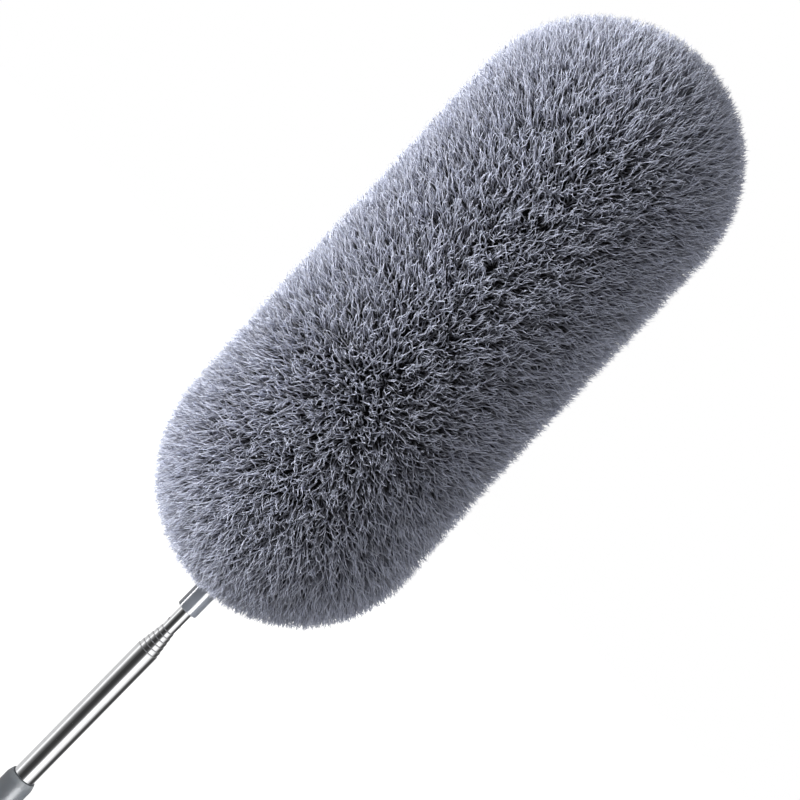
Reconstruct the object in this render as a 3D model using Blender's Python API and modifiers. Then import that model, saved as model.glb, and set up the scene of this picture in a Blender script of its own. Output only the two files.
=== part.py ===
"""Extendable feather duster: a seven-tube telescopic pole, its grip, and a push-on head of fibres.

The pole stands along +Z with the head up, and the origin is on its axis, half way up the grip.
A station is a distance in metres along that axis. Above the ferrule the axis leans with the head.
"""

import math
import random
from dataclasses import dataclass

import bmesh
import bpy
from mathutils import Vector

MM = 0.001

# Pole: seven nested steel tubes
TUBE_COUNT = 7
OUTER_TUBE_DIAMETER = 15.8 * MM
TUBE_WALL = 0.36 * MM
TUBE_GAP = 0.165 * MM
TUBE_LENGTH = 235.7 * MM
LIP_HEIGHT = 1.2 * MM
FLARE_HEIGHT = 14.0 * MM
TUBE_EDGE_SHARE = 0.6

# Clearances: a sliding or push fit, and two faces that seat on each other
RUNNING_FIT = 0.05 * MM
SEAT_GAP = 0.3 * MM

# Glides and end plug: a flange under the tube's end and a spigot inside it
GLIDE_FLANGE = 1.5 * MM
GLIDE_SPIGOT = 1.5 * MM
GLIDE_VENT_DIAMETER = 2.0 * MM

# Cross pin of the smallest tube
PIN_DIAMETER = 1.6 * MM
PIN_PROUD = 0.35 * MM
PIN_ABOVE_LIP = 5.7 * MM

# Tip plug of the smallest tube
TIP_PLUG_FLANGE = 1.5 * MM
TIP_PLUG_SPIGOT = 12.0 * MM

# Grip
GRIP_LENGTH = 125.2 * MM
GRIP_WALL = 2.35 * MM
GRIP_RIM_WALL = 1.05 * MM
GRIP_SHOULDER_HEIGHT = 4.5 * MM
GRIP_SWELL = 0.8 * MM
GRIP_SWELL_STEPS = 8
GRIP_MOUTH_DISH = 1.0 * MM
TUBE_BASE_ABOVE_GRIP_END = 5.0 * MM

# Hanging cap: a dome under the grip, and a flat tab with a hole
CAP_DOME_HEIGHT = 9.0 * MM
CAP_DOME_END_SHARE = 0.68
TAB_THICKNESS = 6.0 * MM
TAB_HOLE_DIAMETER = 8.0 * MM
TAB_RIM = 3.5 * MM

# Connector: the sleeve, the bush inside it and the ferrule in its top
CONNECTOR_WALL = 1.45 * MM
CONNECTOR_EDGE_SHARE = 0.9
CONNECTOR_FLOOR = 3.0 * MM
TUBE_SHOWING_UNDER_CONNECTOR = 17.4 * MM
TUBE_IN_CONNECTOR = 33.0 * MM
TIP_TO_CONNECTOR_FLOOR = 4.2 * MM
BUSH_WALL = 1.2 * MM
BUSH_RECESS = 0.8 * MM
FERRULE_WALL = 1.4 * MM
FERRULE_DEPTH = 18.0 * MM
FERRULE_SHOWING = 5.0 * MM
FERRULE_FLOOR = 2.5 * MM

# Wire core: twisted steel wire that bends by hand, drawn as its round outline
CORE_DIAMETER = 5.0 * MM
BEAD_WALL = 2.4 * MM
BEAD_LENGTH = 12.0 * MM
BEAD_SOCKET_SHARE = 0.7
BEAD_UNDER_HEAD_END = 45.0 * MM

# Fibre head, a capsule that leans a little off the pole
HEAD_DIAMETER = 180.0 * MM
HEAD_LENGTH = 450.0 * MM
HEAD_ABOVE_CONNECTOR_END = 21.1 * MM
HEAD_LEAN = math.radians(1.6)
HEAD_OFFSET = 2.4 * MM
PILE_SLICES = 4

# Strands: pointed four-sided tufts, one on every other patch of the pile. The shares are of a
# patch's width, or of the strand's length for its spread
STRAND_LENGTH = 15.0 * MM
STRAND_LENGTH_SPREAD = 0.12
STRAND_WAIST_SHARE = 0.62
STRAND_WAIST_STRAY = 0.08
STRAND_TIP_STRAY = 0.28
PATCHES_AROUND = 28
PATCH_PITCH = 15.0 * MM
STRAND_SEED = 7

# Facets of a full turn, and steps of a quarter turn in a profile
TUBE_FACETS = 24
GRIP_FACETS = 32
SMALL_FACETS = 12
DOME_STEPS = 5
EDGE_STEPS = 4
WIRE_END_ANGLES = (0, 30, 60, 80)

# The distance at which points merge, and how many times longer a hole's cutter is than the hole
MERGE = 0.001 * MM
CUT_THROUGH = 2


# Stations along the axis, each worked out from the sizes above
def tube_radius(number):
    """Outer radius of tube 1, the widest, to TUBE_COUNT, the narrowest."""
    return OUTER_TUBE_DIAMETER / 2 - (number - 1) * (TUBE_WALL + TUBE_GAP)


def tube_bore(number):
    return tube_radius(number) - TUBE_WALL


def tube_base(number):
    """Where a tube's lower end lies: each stands on the glide of the tube around it."""
    step = GLIDE_SPIGOT + GLIDE_FLANGE + 2 * SEAT_GAP
    return GRIP_END + TUBE_BASE_ABOVE_GRIP_END + (number - 1) * step


def tube_top(number):
    """Every tube is as long as the next, but the narrowest one reaches into the connector."""
    if number == TUBE_COUNT:
        return CONNECTOR_END + TUBE_IN_CONNECTOR
    return tube_base(number) + TUBE_LENGTH


GRIP_END = -GRIP_LENGTH / 2
GRIP_MOUTH = GRIP_LENGTH / 2
SLIDE_TRAVEL = TUBE_LENGTH - (tube_base(2) - tube_base(1)) - LIP_HEIGHT - FLARE_HEIGHT - SEAT_GAP
PIN_STATION = tube_top(TUBE_COUNT - 1) + PIN_ABOVE_LIP
CONNECTOR_END = tube_top(TUBE_COUNT - 1) + TUBE_SHOWING_UNDER_CONNECTOR
CONNECTOR_BORE_DEPTH = TUBE_IN_CONNECTOR + SEAT_GAP + TIP_PLUG_FLANGE + TIP_TO_CONNECTOR_FLOOR
CONNECTOR_LENGTH = CONNECTOR_BORE_DEPTH + CONNECTOR_FLOOR + FERRULE_DEPTH
CONNECTOR_TOP = CONNECTOR_END + CONNECTOR_LENGTH
FERRULE_BASE = CONNECTOR_TOP - FERRULE_DEPTH + SEAT_GAP
NECK = CONNECTOR_TOP + FERRULE_SHOWING
HEAD_START = CONNECTOR_END + HEAD_ABOVE_CONNECTOR_END
HEAD_END = HEAD_START + HEAD_LENGTH
BUSH_BORE_RADIUS = tube_radius(TUBE_COUNT) + RUNNING_FIT
BUSH_RADIUS = BUSH_BORE_RADIUS + BUSH_WALL
CONNECTOR_BORE_RADIUS = BUSH_RADIUS + RUNNING_FIT
CONNECTOR_RADIUS = CONNECTOR_BORE_RADIUS + CONNECTOR_WALL
CORE_RADIUS = CORE_DIAMETER / 2
FERRULE_BORE_RADIUS = CORE_RADIUS + RUNNING_FIT
FERRULE_RADIUS = FERRULE_BORE_RADIUS + FERRULE_WALL
HEAD_RADIUS = HEAD_DIAMETER / 2
PILE_RADIUS = HEAD_RADIUS - STRAND_LENGTH
LOWER_CENTRE = HEAD_START + HEAD_RADIUS
UPPER_CENTRE = HEAD_END - HEAD_RADIUS
BEAD_TOP = HEAD_END - BEAD_UNDER_HEAD_END
BEAD_RADIUS = CORE_RADIUS + RUNNING_FIT + BEAD_WALL
CORE_TOP = BEAD_TOP - BEAD_LENGTH * (1 - BEAD_SOCKET_SHARE) - SEAT_GAP


def hinge_station(number):
    """Where the core bends: the first and last hinge lie at the centres of the capsule's round ends."""
    return LOWER_CENTRE + (UPPER_CENTRE - LOWER_CENTRE) * (number - 1) / (PILE_SLICES - 2)


@dataclass(frozen=True)
class Finish:
    """Colour, roughness and metallic value of one kind of surface."""

    name: str
    colour: tuple
    roughness: float
    metallic: float = 0.0

    def material(self):
        found = bpy.data.materials.get(self.name)
        if found:
            return found
        made = bpy.data.materials.new(self.name)
        made.use_nodes = True
        shader = made.node_tree.nodes["Principled BSDF"]
        shader.inputs["Base Color"].default_value = (*self.colour, 1.0)
        shader.inputs["Roughness"].default_value = self.roughness
        shader.inputs["Metallic"].default_value = self.metallic
        made.diffuse_color = (*self.colour, 1.0)
        made.roughness = self.roughness
        made.metallic = self.metallic
        return made


CHROME = Finish("chrome_tube", (0.78, 0.78, 0.80), 0.12, 1.0)
GRIP_GREY = Finish("grip_grey", (0.19, 0.20, 0.22), 0.42)
CAP_GREY = Finish("cap_grey", (0.17, 0.18, 0.20), 0.40)
CONNECTOR_GREY = Finish("connector_grey", (0.20, 0.22, 0.25), 0.18)
GLIDE_WHITE = Finish("glide_white", (0.75, 0.75, 0.73), 0.45)
BUSH_BLACK = Finish("bush_black", (0.04, 0.04, 0.045), 0.5)
PIN_STEEL = Finish("pin_steel", (0.62, 0.62, 0.64), 0.25, 1.0)
WIRE_STEEL = Finish("wire_steel", (0.55, 0.55, 0.56), 0.35, 1.0)
FIBRE_SLATE = Finish("fibre_slate", (0.16, 0.165, 0.21), 0.8)


@dataclass(frozen=True)
class Carrier:
    """An empty on the axis that carries the pieces of one body, and its station."""

    empty: bpy.types.Object
    station: float

    def hold(self, piece, station, sideways=0.0):
        """Parents a piece to this carrier, with the piece's origin at a station."""
        piece.parent = self.empty
        piece.location = (sideways, 0.0, station - self.station)


def clear_scene():
    for thing in list(bpy.data.objects):
        bpy.data.objects.remove(thing)


def new_collection(name):
    made = bpy.data.collections.new(name)
    bpy.context.scene.collection.children.link(made)
    return made


def new_carrier(name, station, under=None, lean=0.0):
    """Makes an empty at a station, parented to the carrier below it."""
    empty = bpy.data.objects.new(name, None)
    empty.empty_display_size = 10 * MM
    PARTS.objects.link(empty)
    empty.rotation_euler = (0.0, -lean, 0.0)
    carrier = Carrier(empty, station)
    if under:
        under.hold(empty, station)
    else:
        empty.location = (0.0, 0.0, station)
    return carrier


def link_piece(name, data, finish, collection=None):
    piece = bpy.data.objects.new(name, data)
    (collection or PARTS).objects.link(piece)
    if finish:
        data.materials.append(finish.material())
    return piece


def turned(name, profile, facets, finish, closed=True, collection=None):
    """A turned shape. The profile is (radius, height) pairs that run down its outer side.

    A closed profile makes a ring with a bore. An open one starts and ends on the axis.
    """
    mesh = bpy.data.meshes.new(name)
    last = len(profile) - 1
    edges = [(i, i + 1) for i in range(last)]
    if closed:
        edges.append((last, 0))
    mesh.from_pydata([(radius, 0.0, height) for radius, height in profile], edges, [])
    piece = link_piece(name, mesh, finish, collection)
    screw = piece.modifiers.new("Turn", "SCREW")
    screw.axis = "Z"
    screw.angle = 2 * math.pi
    screw.steps = facets
    screw.render_steps = facets
    screw.use_merge_vertices = True
    screw.merge_threshold = MERGE
    screw.use_smooth_shade = True
    return piece


def as_cutter(piece):
    piece.hide_render = True
    piece.display_type = "WIRE"
    return piece


def turned_cutter(name, profile, facets):
    return as_cutter(turned(name, profile, facets, None, closed=False, collection=CUTTERS))


def bar_across(name, radius, length, facets, direction, finish=None):
    """A round bar across the axis, centred on its origin. Without a finish it is a cutter."""
    mesh = bpy.data.meshes.new(name)
    turn = Vector((0, 0, 1)).rotation_difference(Vector(direction)).to_matrix()
    shape = bmesh.new()
    bmesh.ops.create_cone(
        shape, cap_ends=True, segments=facets, radius1=radius, radius2=radius, depth=length
    )
    bmesh.ops.rotate(shape, verts=shape.verts, matrix=turn)
    shape.to_mesh(mesh)
    shape.free()
    if finish:
        return link_piece(name, mesh, finish)
    return as_cutter(link_piece(name, mesh, None, CUTTERS))


def evaluated_mesh(piece):
    """The mesh that a curve or a piece with modifiers makes. The piece itself is removed."""
    bpy.context.view_layer.update()
    mesh = bpy.data.meshes.new_from_object(piece.evaluated_get(bpy.context.evaluated_depsgraph_get()))
    bpy.data.objects.remove(piece)
    return mesh


def boolean(piece, other, operation="DIFFERENCE"):
    made = piece.modifiers.new(other.name, "BOOLEAN")
    made.operation = operation
    made.solver = "EXACT"
    made.object = other


def arc(centre_radius, centre_height, radius, start, end, steps):
    """Points of an arc in a profile, by angles in degrees from the outward direction."""
    points = []
    for i in range(steps + 1):
        angle = math.radians(start + (end - start) * i / steps)
        across = centre_radius + radius * math.cos(angle)
        points.append((across, centre_height + radius * math.sin(angle)))
    return points


def tube_piece(number):
    """One steel tube: a rolled-in lip at the top, and a flare at the foot of each sliding one."""
    outer, bore = tube_radius(number), tube_bore(number)
    length = tube_top(number) - tube_base(number)
    is_last = number == TUBE_COUNT
    lip_radius = bore if is_last else tube_radius(number + 1) + RUNNING_FIT
    edge = TUBE_WALL * TUBE_EDGE_SHARE
    profile = [(outer - edge, length), (outer, length - edge)]
    if number > 1:
        flare = outer + TUBE_GAP - RUNNING_FIT
        profile += [(outer, FLARE_HEIGHT), (flare, FLARE_HEIGHT), (flare, 0.0)]
    else:
        profile.append((outer, 0.0))
    profile.append((bore, 0.0))
    if not is_last:
        profile += [(bore, length - LIP_HEIGHT), (lip_radius, length - LIP_HEIGHT)]
    profile.append((lip_radius, length))
    return turned(f"tube_{number}", profile, TUBE_FACETS, CHROME)


def glide_piece(number):
    """The plastic plug in a tube's foot. Tube 1 has a plain end plug of the same make."""
    flange = tube_radius(number)
    if number > 1:
        flange += TUBE_GAP - RUNNING_FIT
    spigot = tube_bore(number) - RUNNING_FIT
    vent = GLIDE_VENT_DIAMETER / 2
    flange_top = GLIDE_FLANGE
    top = flange_top + SEAT_GAP + GLIDE_SPIGOT
    profile = [
        (spigot, top),
        (spigot, flange_top),
        (flange, flange_top),
        (flange, 0.0),
        (vent, 0.0),
        (vent, top),
    ]
    name = f"glide_{number}" if number > 1 else "end_plug"
    return turned(name, profile, TUBE_FACETS, GLIDE_WHITE)


def glide_station(number):
    return tube_base(number) - SEAT_GAP - GLIDE_FLANGE


def build_pole():
    """The grip, the seven tubes and what is in them. Returns the carrier of the smallest tube."""
    handle = new_carrier("handle", 0.0)
    build_grip(handle)
    carrier = handle
    for number in range(1, TUBE_COUNT + 1):
        if number > 1:
            carrier = new_carrier(f"section_{number}", tube_base(number), carrier)
            carrier.empty["slide_travel"] = SLIDE_TRAVEL
        tube = tube_piece(number)
        carrier.hold(tube, tube_base(number))
        carrier.hold(glide_piece(number), glide_station(number))
    build_pole_tip(carrier, tube)
    return carrier


def build_pole_tip(section, tube):
    """The cross pin and the tip plug of the smallest tube."""
    radius = tube_radius(TUBE_COUNT)
    pin_radius = PIN_DIAMETER / 2
    pin_length = 2 * (radius + PIN_PROUD)
    pin = bar_across("stop_pin", pin_radius, pin_length, SMALL_FACETS, (1, 0, 0), PIN_STEEL)
    hole_length = CUT_THROUGH * pin_length
    hole = bar_across("pin_hole", pin_radius + RUNNING_FIT, hole_length, SMALL_FACETS, (1, 0, 0))
    section.hold(pin, PIN_STATION)
    section.hold(hole, PIN_STATION)
    boolean(tube, hole)
    spigot = tube_bore(TUBE_COUNT) - RUNNING_FIT
    edge = TIP_PLUG_FLANGE / 2
    profile = [
        (0.0, SEAT_GAP + TIP_PLUG_FLANGE),
        (radius - edge, SEAT_GAP + TIP_PLUG_FLANGE),
        (radius, SEAT_GAP + TIP_PLUG_FLANGE - edge),
        (radius, SEAT_GAP),
        (spigot, SEAT_GAP),
        (spigot, -TIP_PLUG_SPIGOT),
        (0.0, -TIP_PLUG_SPIGOT),
    ]
    plug = turned("tip_plug", profile, TUBE_FACETS, GLIDE_WHITE, closed=False)
    section.hold(plug, tube_top(TUBE_COUNT))


def build_grip(handle):
    """The grip sleeve with its rounded shoulder and dished mouth, and the hanging cap under it."""
    bore = tube_radius(1) + RUNNING_FIT
    rim = bore + GRIP_RIM_WALL
    body = bore + GRIP_WALL
    dish = bore + GRIP_RIM_WALL / 2
    shoulder = GRIP_MOUTH - GRIP_SHOULDER_HEIGHT
    edge = GRIP_RIM_WALL / 4
    profile = [(rim - edge, GRIP_MOUTH)]
    for i in range(DOME_STEPS + 1):
        angle = math.pi / 2 * (1 - i / DOME_STEPS)
        across = rim + (body - rim) * math.cos(angle)
        profile.append((across, shoulder + (GRIP_SHOULDER_HEIGHT - edge) * math.sin(angle)))
    for i in range(1, GRIP_SWELL_STEPS + 1):
        share = i / GRIP_SWELL_STEPS
        swell = GRIP_SWELL * math.sin(math.pi * share) ** 2
        profile.append((body + swell, shoulder + (GRIP_END - shoulder) * share))
    profile += [(bore, GRIP_END), (bore, GRIP_MOUTH - GRIP_MOUTH_DISH), (dish, GRIP_MOUTH)]
    handle.hold(turned("grip_sleeve", profile, GRIP_FACETS, GRIP_GREY), 0.0)
    handle.hold(cap_piece(handle, bore, body), GRIP_END)


def cap_piece(handle, bore, body):
    """The cap: a spigot in the grip, a dome under it, and a flat tab with a hanging hole."""
    spigot_top = glide_station(1) - GRIP_END - SEAT_GAP
    spigot = bore - RUNNING_FIT
    end = body * CAP_DOME_END_SHARE
    dome_top = -SEAT_GAP
    profile = [(0.0, spigot_top), (spigot, spigot_top), (spigot, dome_top)]
    for i in range(DOME_STEPS + 1):
        angle = math.pi / 2 * i / DOME_STEPS
        across = end + (body - end) * math.cos(angle)
        profile.append((across, dome_top - CAP_DOME_HEIGHT * math.sin(angle)))
    profile.append((0.0, dome_top - CAP_DOME_HEIGHT))
    cap = turned("hanging_cap", profile, GRIP_FACETS, CAP_GREY, closed=False)
    hole_centre = dome_top - CAP_DOME_HEIGHT - TAB_RIM / 2 - TAB_HOLE_DIAMETER / 2
    tab = tab_shape(dome_top - CAP_DOME_HEIGHT / 2, hole_centre)
    hole_length = CUT_THROUGH * TAB_THICKNESS
    hole = bar_across("tab_hole", TAB_HOLE_DIAMETER / 2, hole_length, TUBE_FACETS, (0, 1, 0))
    handle.hold(tab, GRIP_END)
    handle.hold(hole, GRIP_END + hole_centre)
    boolean(cap, tab, "UNION")
    boolean(cap, hole)
    return cap


def tab_shape(top, hole_centre):
    """The flat tab: its sides run up into the dome, and its end is a half circle round the hole."""
    radius = TAB_HOLE_DIAMETER / 2 + TAB_RIM
    outline = [(radius, top)]
    for i in range(SMALL_FACETS + 1):
        angle = -math.pi * i / SMALL_FACETS
        outline.append((radius * math.cos(angle), hole_centre + radius * math.sin(angle)))
    outline.append((-radius, top))
    curve = bpy.data.curves.new("tab", "CURVE")
    curve.dimensions = "2D"
    curve.fill_mode = "BOTH"
    curve.extrude = TAB_THICKNESS / 2
    spline = curve.splines.new("POLY")
    spline.points.add(len(outline) - 1)
    for point, (across, height) in zip(spline.points, outline):
        point.co = (across, height, 0.0, 1.0)
    spline.use_cyclic_u = True
    mesh = evaluated_mesh(link_piece("tab", curve, None, CUTTERS))
    shape = bmesh.new()
    shape.from_mesh(mesh)
    bmesh.ops.remove_doubles(shape, verts=shape.verts, dist=MERGE)
    upright = Vector((0, 1, 0)).rotation_difference(Vector((0, 0, 1))).to_matrix()
    bmesh.ops.rotate(shape, verts=shape.verts, matrix=upright)
    bmesh.ops.recalc_face_normals(shape, faces=shape.faces)
    shape.to_mesh(mesh)
    shape.free()
    return as_cutter(link_piece("tab", mesh, None, CUTTERS))


def build_connector(head):
    """The sleeve that pushes onto the pole's tip, its bush, and the ferrule in its top."""
    socket_floor = CONNECTOR_BORE_DEPTH + CONNECTOR_FLOOR
    socket = FERRULE_RADIUS + RUNNING_FIT
    edge = CONNECTOR_WALL * CONNECTOR_EDGE_SHARE
    sleeve = [
        (0.0, socket_floor),
        (socket, socket_floor),
        (socket, CONNECTOR_LENGTH),
        (CONNECTOR_RADIUS - edge / 2, CONNECTOR_LENGTH),
        (CONNECTOR_RADIUS, CONNECTOR_LENGTH - edge / 2),
        *arc(CONNECTOR_RADIUS - edge, edge, edge, 0, -90, EDGE_STEPS),
        (CONNECTOR_BORE_RADIUS, 0.0),
        (CONNECTOR_BORE_RADIUS, CONNECTOR_BORE_DEPTH),
        (0.0, CONNECTOR_BORE_DEPTH),
    ]
    piece = turned("connector_sleeve", sleeve, TUBE_FACETS, CONNECTOR_GREY, closed=False)
    head.hold(piece, CONNECTOR_END)
    bush_length = CONNECTOR_BORE_DEPTH - BUSH_RECESS - SEAT_GAP
    bush = [
        (BUSH_RADIUS, bush_length),
        (BUSH_RADIUS, 0.0),
        (BUSH_BORE_RADIUS, 0.0),
        (BUSH_BORE_RADIUS, bush_length),
    ]
    piece = turned("connector_bush", bush, TUBE_FACETS, BUSH_BLACK)
    head.hold(piece, CONNECTOR_END + BUSH_RECESS)
    length = NECK - FERRULE_BASE
    ferrule = [
        (0.0, FERRULE_FLOOR),
        (FERRULE_BORE_RADIUS, FERRULE_FLOOR),
        (FERRULE_BORE_RADIUS, length),
        (FERRULE_RADIUS, length),
        (FERRULE_RADIUS, 0.0),
        (0.0, 0.0),
    ]
    piece = turned("ferrule", ferrule, TUBE_FACETS, PIN_STEEL, closed=False)
    head.hold(piece, FERRULE_BASE)


def wire_piece(name, points, radii):
    """A stretch of the core: a round wire through points, with a share of its radius at each."""
    curve = bpy.data.curves.new(name, "CURVE")
    curve.dimensions = "3D"
    curve.bevel_depth = CORE_RADIUS
    curve.bevel_resolution = 2
    curve.use_fill_caps = True
    spline = curve.splines.new("POLY")
    spline.points.add(len(points) - 1)
    for point, place, radius in zip(spline.points, points, radii):
        point.co = (*place, 1.0)
        point.radius = radius
    return link_piece(name, curve, WIRE_STEEL)


def dome(height):
    """Points and radii of a round wire end, centred on a hinge so that the next stretch clears it."""
    angles = [math.radians(degrees) for degrees in WIRE_END_ANGLES]
    points = [(0.0, 0.0, height + CORE_RADIUS * math.sin(angle)) for angle in angles]
    return points, [math.cos(angle) for angle in angles]


def build_core(carriers):
    """The four stretches of wire, from the ferrule to the bead."""
    for number, carrier in enumerate(carriers, 1):
        if number == 1:
            foot = FERRULE_BASE + FERRULE_FLOOR + SEAT_GAP - NECK
            straight = Vector((math.sin(HEAD_LEAN), 0.0, math.cos(HEAD_LEAN)))
            points = [tuple(straight * foot), (0.0, 0.0, 0.0)]
        else:
            points = [(0.0, 0.0, CORE_RADIUS + SEAT_GAP)]
        radii = [1.0] * len(points)
        if number < PILE_SLICES:
            end_points, end_radii = dome(hinge_station(number) - carrier.station)
        else:
            end_points, end_radii = [(0.0, 0.0, CORE_TOP - carrier.station)], [1.0]
        piece = wire_piece(f"core_{number}", points + end_points, radii + end_radii)
        carrier.hold(piece, carrier.station)
    carriers[-1].hold(bead_piece(), BEAD_TOP - BEAD_LENGTH)


def bead_piece():
    """The bead on the wire's free end: a rounded cap with a socket."""
    socket = BEAD_LENGTH * BEAD_SOCKET_SHARE
    bore = CORE_RADIUS + RUNNING_FIT
    round_end = arc(0.0, BEAD_LENGTH - BEAD_RADIUS, BEAD_RADIUS, 90, 0, DOME_STEPS)
    profile = [(0.0, BEAD_LENGTH), *round_end[1:]]
    profile += [(BEAD_RADIUS, 0.0), (bore, 0.0), (bore, socket), (0.0, socket)]
    return turned("tip_bead", profile, TUBE_FACETS, BUSH_BLACK, closed=False)


def pile_profile(low, high):
    """The capsule's outline between two stations, from the top down, in even patches.

    A slice that holds a round end runs to its tip. Its flat ends stop short of the next slice.
    """
    if high > UPPER_CENTRE or low < LOWER_CENTRE:
        rows = round(PILE_RADIUS * math.pi / 2 / PATCH_PITCH)
        angles = [math.pi / 2 * i / rows for i in range(rows + 1)]
        rim = [(PILE_RADIUS * math.sin(a), PILE_RADIUS * math.cos(a)) for a in angles]
        rim[-1] = (PILE_RADIUS, SEAT_GAP / 2)
        if high > UPPER_CENTRE:
            profile = [(across, UPPER_CENTRE + up - low) for across, up in rim]
            return [*profile, (0.0, profile[-1][1])]
        profile = [(across, LOWER_CENTRE - up - low) for across, up in reversed(rim)]
        return [(0.0, profile[0][1]), *profile]
    rows = round((high - low) / PATCH_PITCH)
    top, bottom = high - low - SEAT_GAP / 2, SEAT_GAP / 2
    profile = [(PILE_RADIUS, top + (bottom - top) * i / rows) for i in range(rows + 1)]
    return [(0.0, top), *profile, (0.0, bottom)]


def strayed(base, normal, height, stray, chance):
    """A point over a base point, moved at random along the surface but not out of it."""
    drift = Vector([chance.uniform(-1, 1) for _ in range(3)]) * stray
    return base + normal * height + drift - normal * drift.dot(normal)


def raise_strands(mesh, chance, rows_below):
    """Raises a pointed strand from every other patch. Returns how many rows of patches there are."""
    shape = bmesh.new()
    shape.from_mesh(mesh)
    bmesh.ops.recalc_face_normals(shape, faces=shape.faces)
    patches = [f for f in shape.faces if len(f.verts) == 4]
    heights = sorted({round(f.calc_center_median().z, 5) for f in patches})
    chosen = []
    for face in patches:
        centre = face.calc_center_median()
        row = rows_below + heights.index(round(centre.z, 5))
        column = math.floor(math.atan2(centre.y, centre.x) / (2 * math.pi) * PATCHES_AROUND)
        if (row + column) % 2 == 0:
            chosen.append(face)
    for face in chosen:
        base, normal = face.calc_center_median(), face.normal.copy()
        width = math.sqrt(face.calc_area())
        length = STRAND_LENGTH * (1 + STRAND_LENGTH_SPREAD * chance.uniform(-1, 1))
        waist = bmesh.ops.extrude_discrete_faces(shape, faces=[face])["faces"][0]
        middle = strayed(base, normal, length / 2, width * STRAND_WAIST_STRAY, chance)
        for vertex in waist.verts:
            vertex.co = middle + (vertex.co - base) * STRAND_WAIST_SHARE
        tip = bmesh.ops.poke(shape, faces=[waist])["verts"][0]
        tip.co = strayed(base, normal, length, width * STRAND_TIP_STRAY, chance)
    shape.to_mesh(mesh)
    shape.free()
    return len(heights)


def build_pile(carriers, head):
    """The fibres in four slices, each cut round the core, the bead and the connector."""
    core_bore, neck_bore = pile_cutters(carriers[0], head)
    chance = random.Random(STRAND_SEED)
    rows = 0
    ends = [HEAD_START, *[hinge_station(n) for n in range(1, PILE_SLICES)], HEAD_END]
    for number, carrier in enumerate(carriers, 1):
        name = f"pile_{number}"
        low, high = ends[number - 1], ends[number]
        plain = turned(name, pile_profile(low, high), PATCHES_AROUND, None, closed=False)
        mesh = evaluated_mesh(plain)
        rows += raise_strands(mesh, chance, rows)
        piece = link_piece(name, mesh, FIBRE_SLATE)
        carrier.hold(piece, low, -HEAD_OFFSET)
        boolean(piece, core_bore)
        if number == 1:
            boolean(piece, neck_bore)


def pile_cutters(leaning, head):
    """Cutters for the room round the wire and bead, and round the connector and ferrule."""
    core = CORE_RADIUS + SEAT_GAP
    bead = BEAD_RADIUS + SEAT_GAP
    bead_low = BEAD_TOP - BEAD_LENGTH - SEAT_GAP - NECK
    bead_high = BEAD_TOP + SEAT_GAP - NECK
    room = [(0.0, bead_high), (bead, bead_high), (bead, bead_low), (core, bead_low), (core, 0.0)]
    core_bore = turned_cutter("core_bore", [*room, (0.0, 0.0)], TUBE_FACETS)
    leaning.hold(core_bore, NECK)
    sleeve = CONNECTOR_RADIUS + SEAT_GAP
    collar = FERRULE_RADIUS + SEAT_GAP
    low = HEAD_START - HEAD_RADIUS
    step, top = CONNECTOR_TOP + SEAT_GAP - low, NECK + SEAT_GAP - low
    room = [(0.0, top), (collar, top), (collar, step), (sleeve, step), (sleeve, 0.0), (0.0, 0.0)]
    neck_bore = turned_cutter("neck_bore", room, TUBE_FACETS)
    head.hold(neck_bore, low)
    return core_bore, neck_bore


def build_head(section):
    """The push-on head: the connector, then the core and the pile on four leaning carriers."""
    head = new_carrier("head", CONNECTOR_END, section)
    build_connector(head)
    carriers = [new_carrier("neck", NECK, head, HEAD_LEAN)]
    for number in range(1, PILE_SLICES):
        carriers.append(new_carrier(f"bend_{number}", hinge_station(number), carriers[-1]))
    build_core(carriers)
    build_pile(carriers, head)


clear_scene()
PARTS = new_collection("extendable_feather_duster")
CUTTERS = new_collection("cutters")
build_head(build_pole())
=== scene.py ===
"""Extendable feather duster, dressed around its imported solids.

The pole stands along +Z with the head up, and the head leans a little towards -X.
Lengths are in metres, and a station is a length along the pole or along the leaning head.
"""

import logging
import math
from collections.abc import Sequence
from dataclasses import dataclass, field
from enum import Enum

import bmesh
import bpy
from mathutils import Matrix, Vector, noise


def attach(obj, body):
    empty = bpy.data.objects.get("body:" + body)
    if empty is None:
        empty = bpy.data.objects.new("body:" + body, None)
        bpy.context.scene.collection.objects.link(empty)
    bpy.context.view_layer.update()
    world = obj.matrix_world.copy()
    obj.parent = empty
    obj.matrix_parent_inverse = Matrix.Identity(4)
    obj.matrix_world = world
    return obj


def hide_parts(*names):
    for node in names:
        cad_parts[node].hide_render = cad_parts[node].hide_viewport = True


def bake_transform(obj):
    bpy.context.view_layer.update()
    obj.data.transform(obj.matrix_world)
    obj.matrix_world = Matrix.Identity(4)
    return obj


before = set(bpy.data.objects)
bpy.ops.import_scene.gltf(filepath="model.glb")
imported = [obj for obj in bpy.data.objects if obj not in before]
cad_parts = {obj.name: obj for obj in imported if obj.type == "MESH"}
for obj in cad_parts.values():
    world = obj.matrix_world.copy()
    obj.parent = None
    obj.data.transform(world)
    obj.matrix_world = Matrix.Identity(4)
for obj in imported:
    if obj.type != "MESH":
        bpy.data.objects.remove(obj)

MM = 0.001
LOG = logging.getLogger("duster")
Colour = tuple[float, float, float]
Point3 = tuple[float, float, float]
Point2 = tuple[float, float]
WHITE = (1.0, 1.0, 1.0, 1.0)

# Real heights of the finest surface details, which the bumps take
GRAIN_HEIGHT = 0.02 * MM
LINE_HEIGHT = 0.004 * MM
BARB_HEIGHT = 0.05 * MM


class Axis(Enum):
    """Directions that pieces are turned to."""

    ACROSS = (1.0, 0.0, 0.0)
    FRONT = (0.0, 1.0, 0.0)
    UP = (0.0, 0.0, 1.0)


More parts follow.
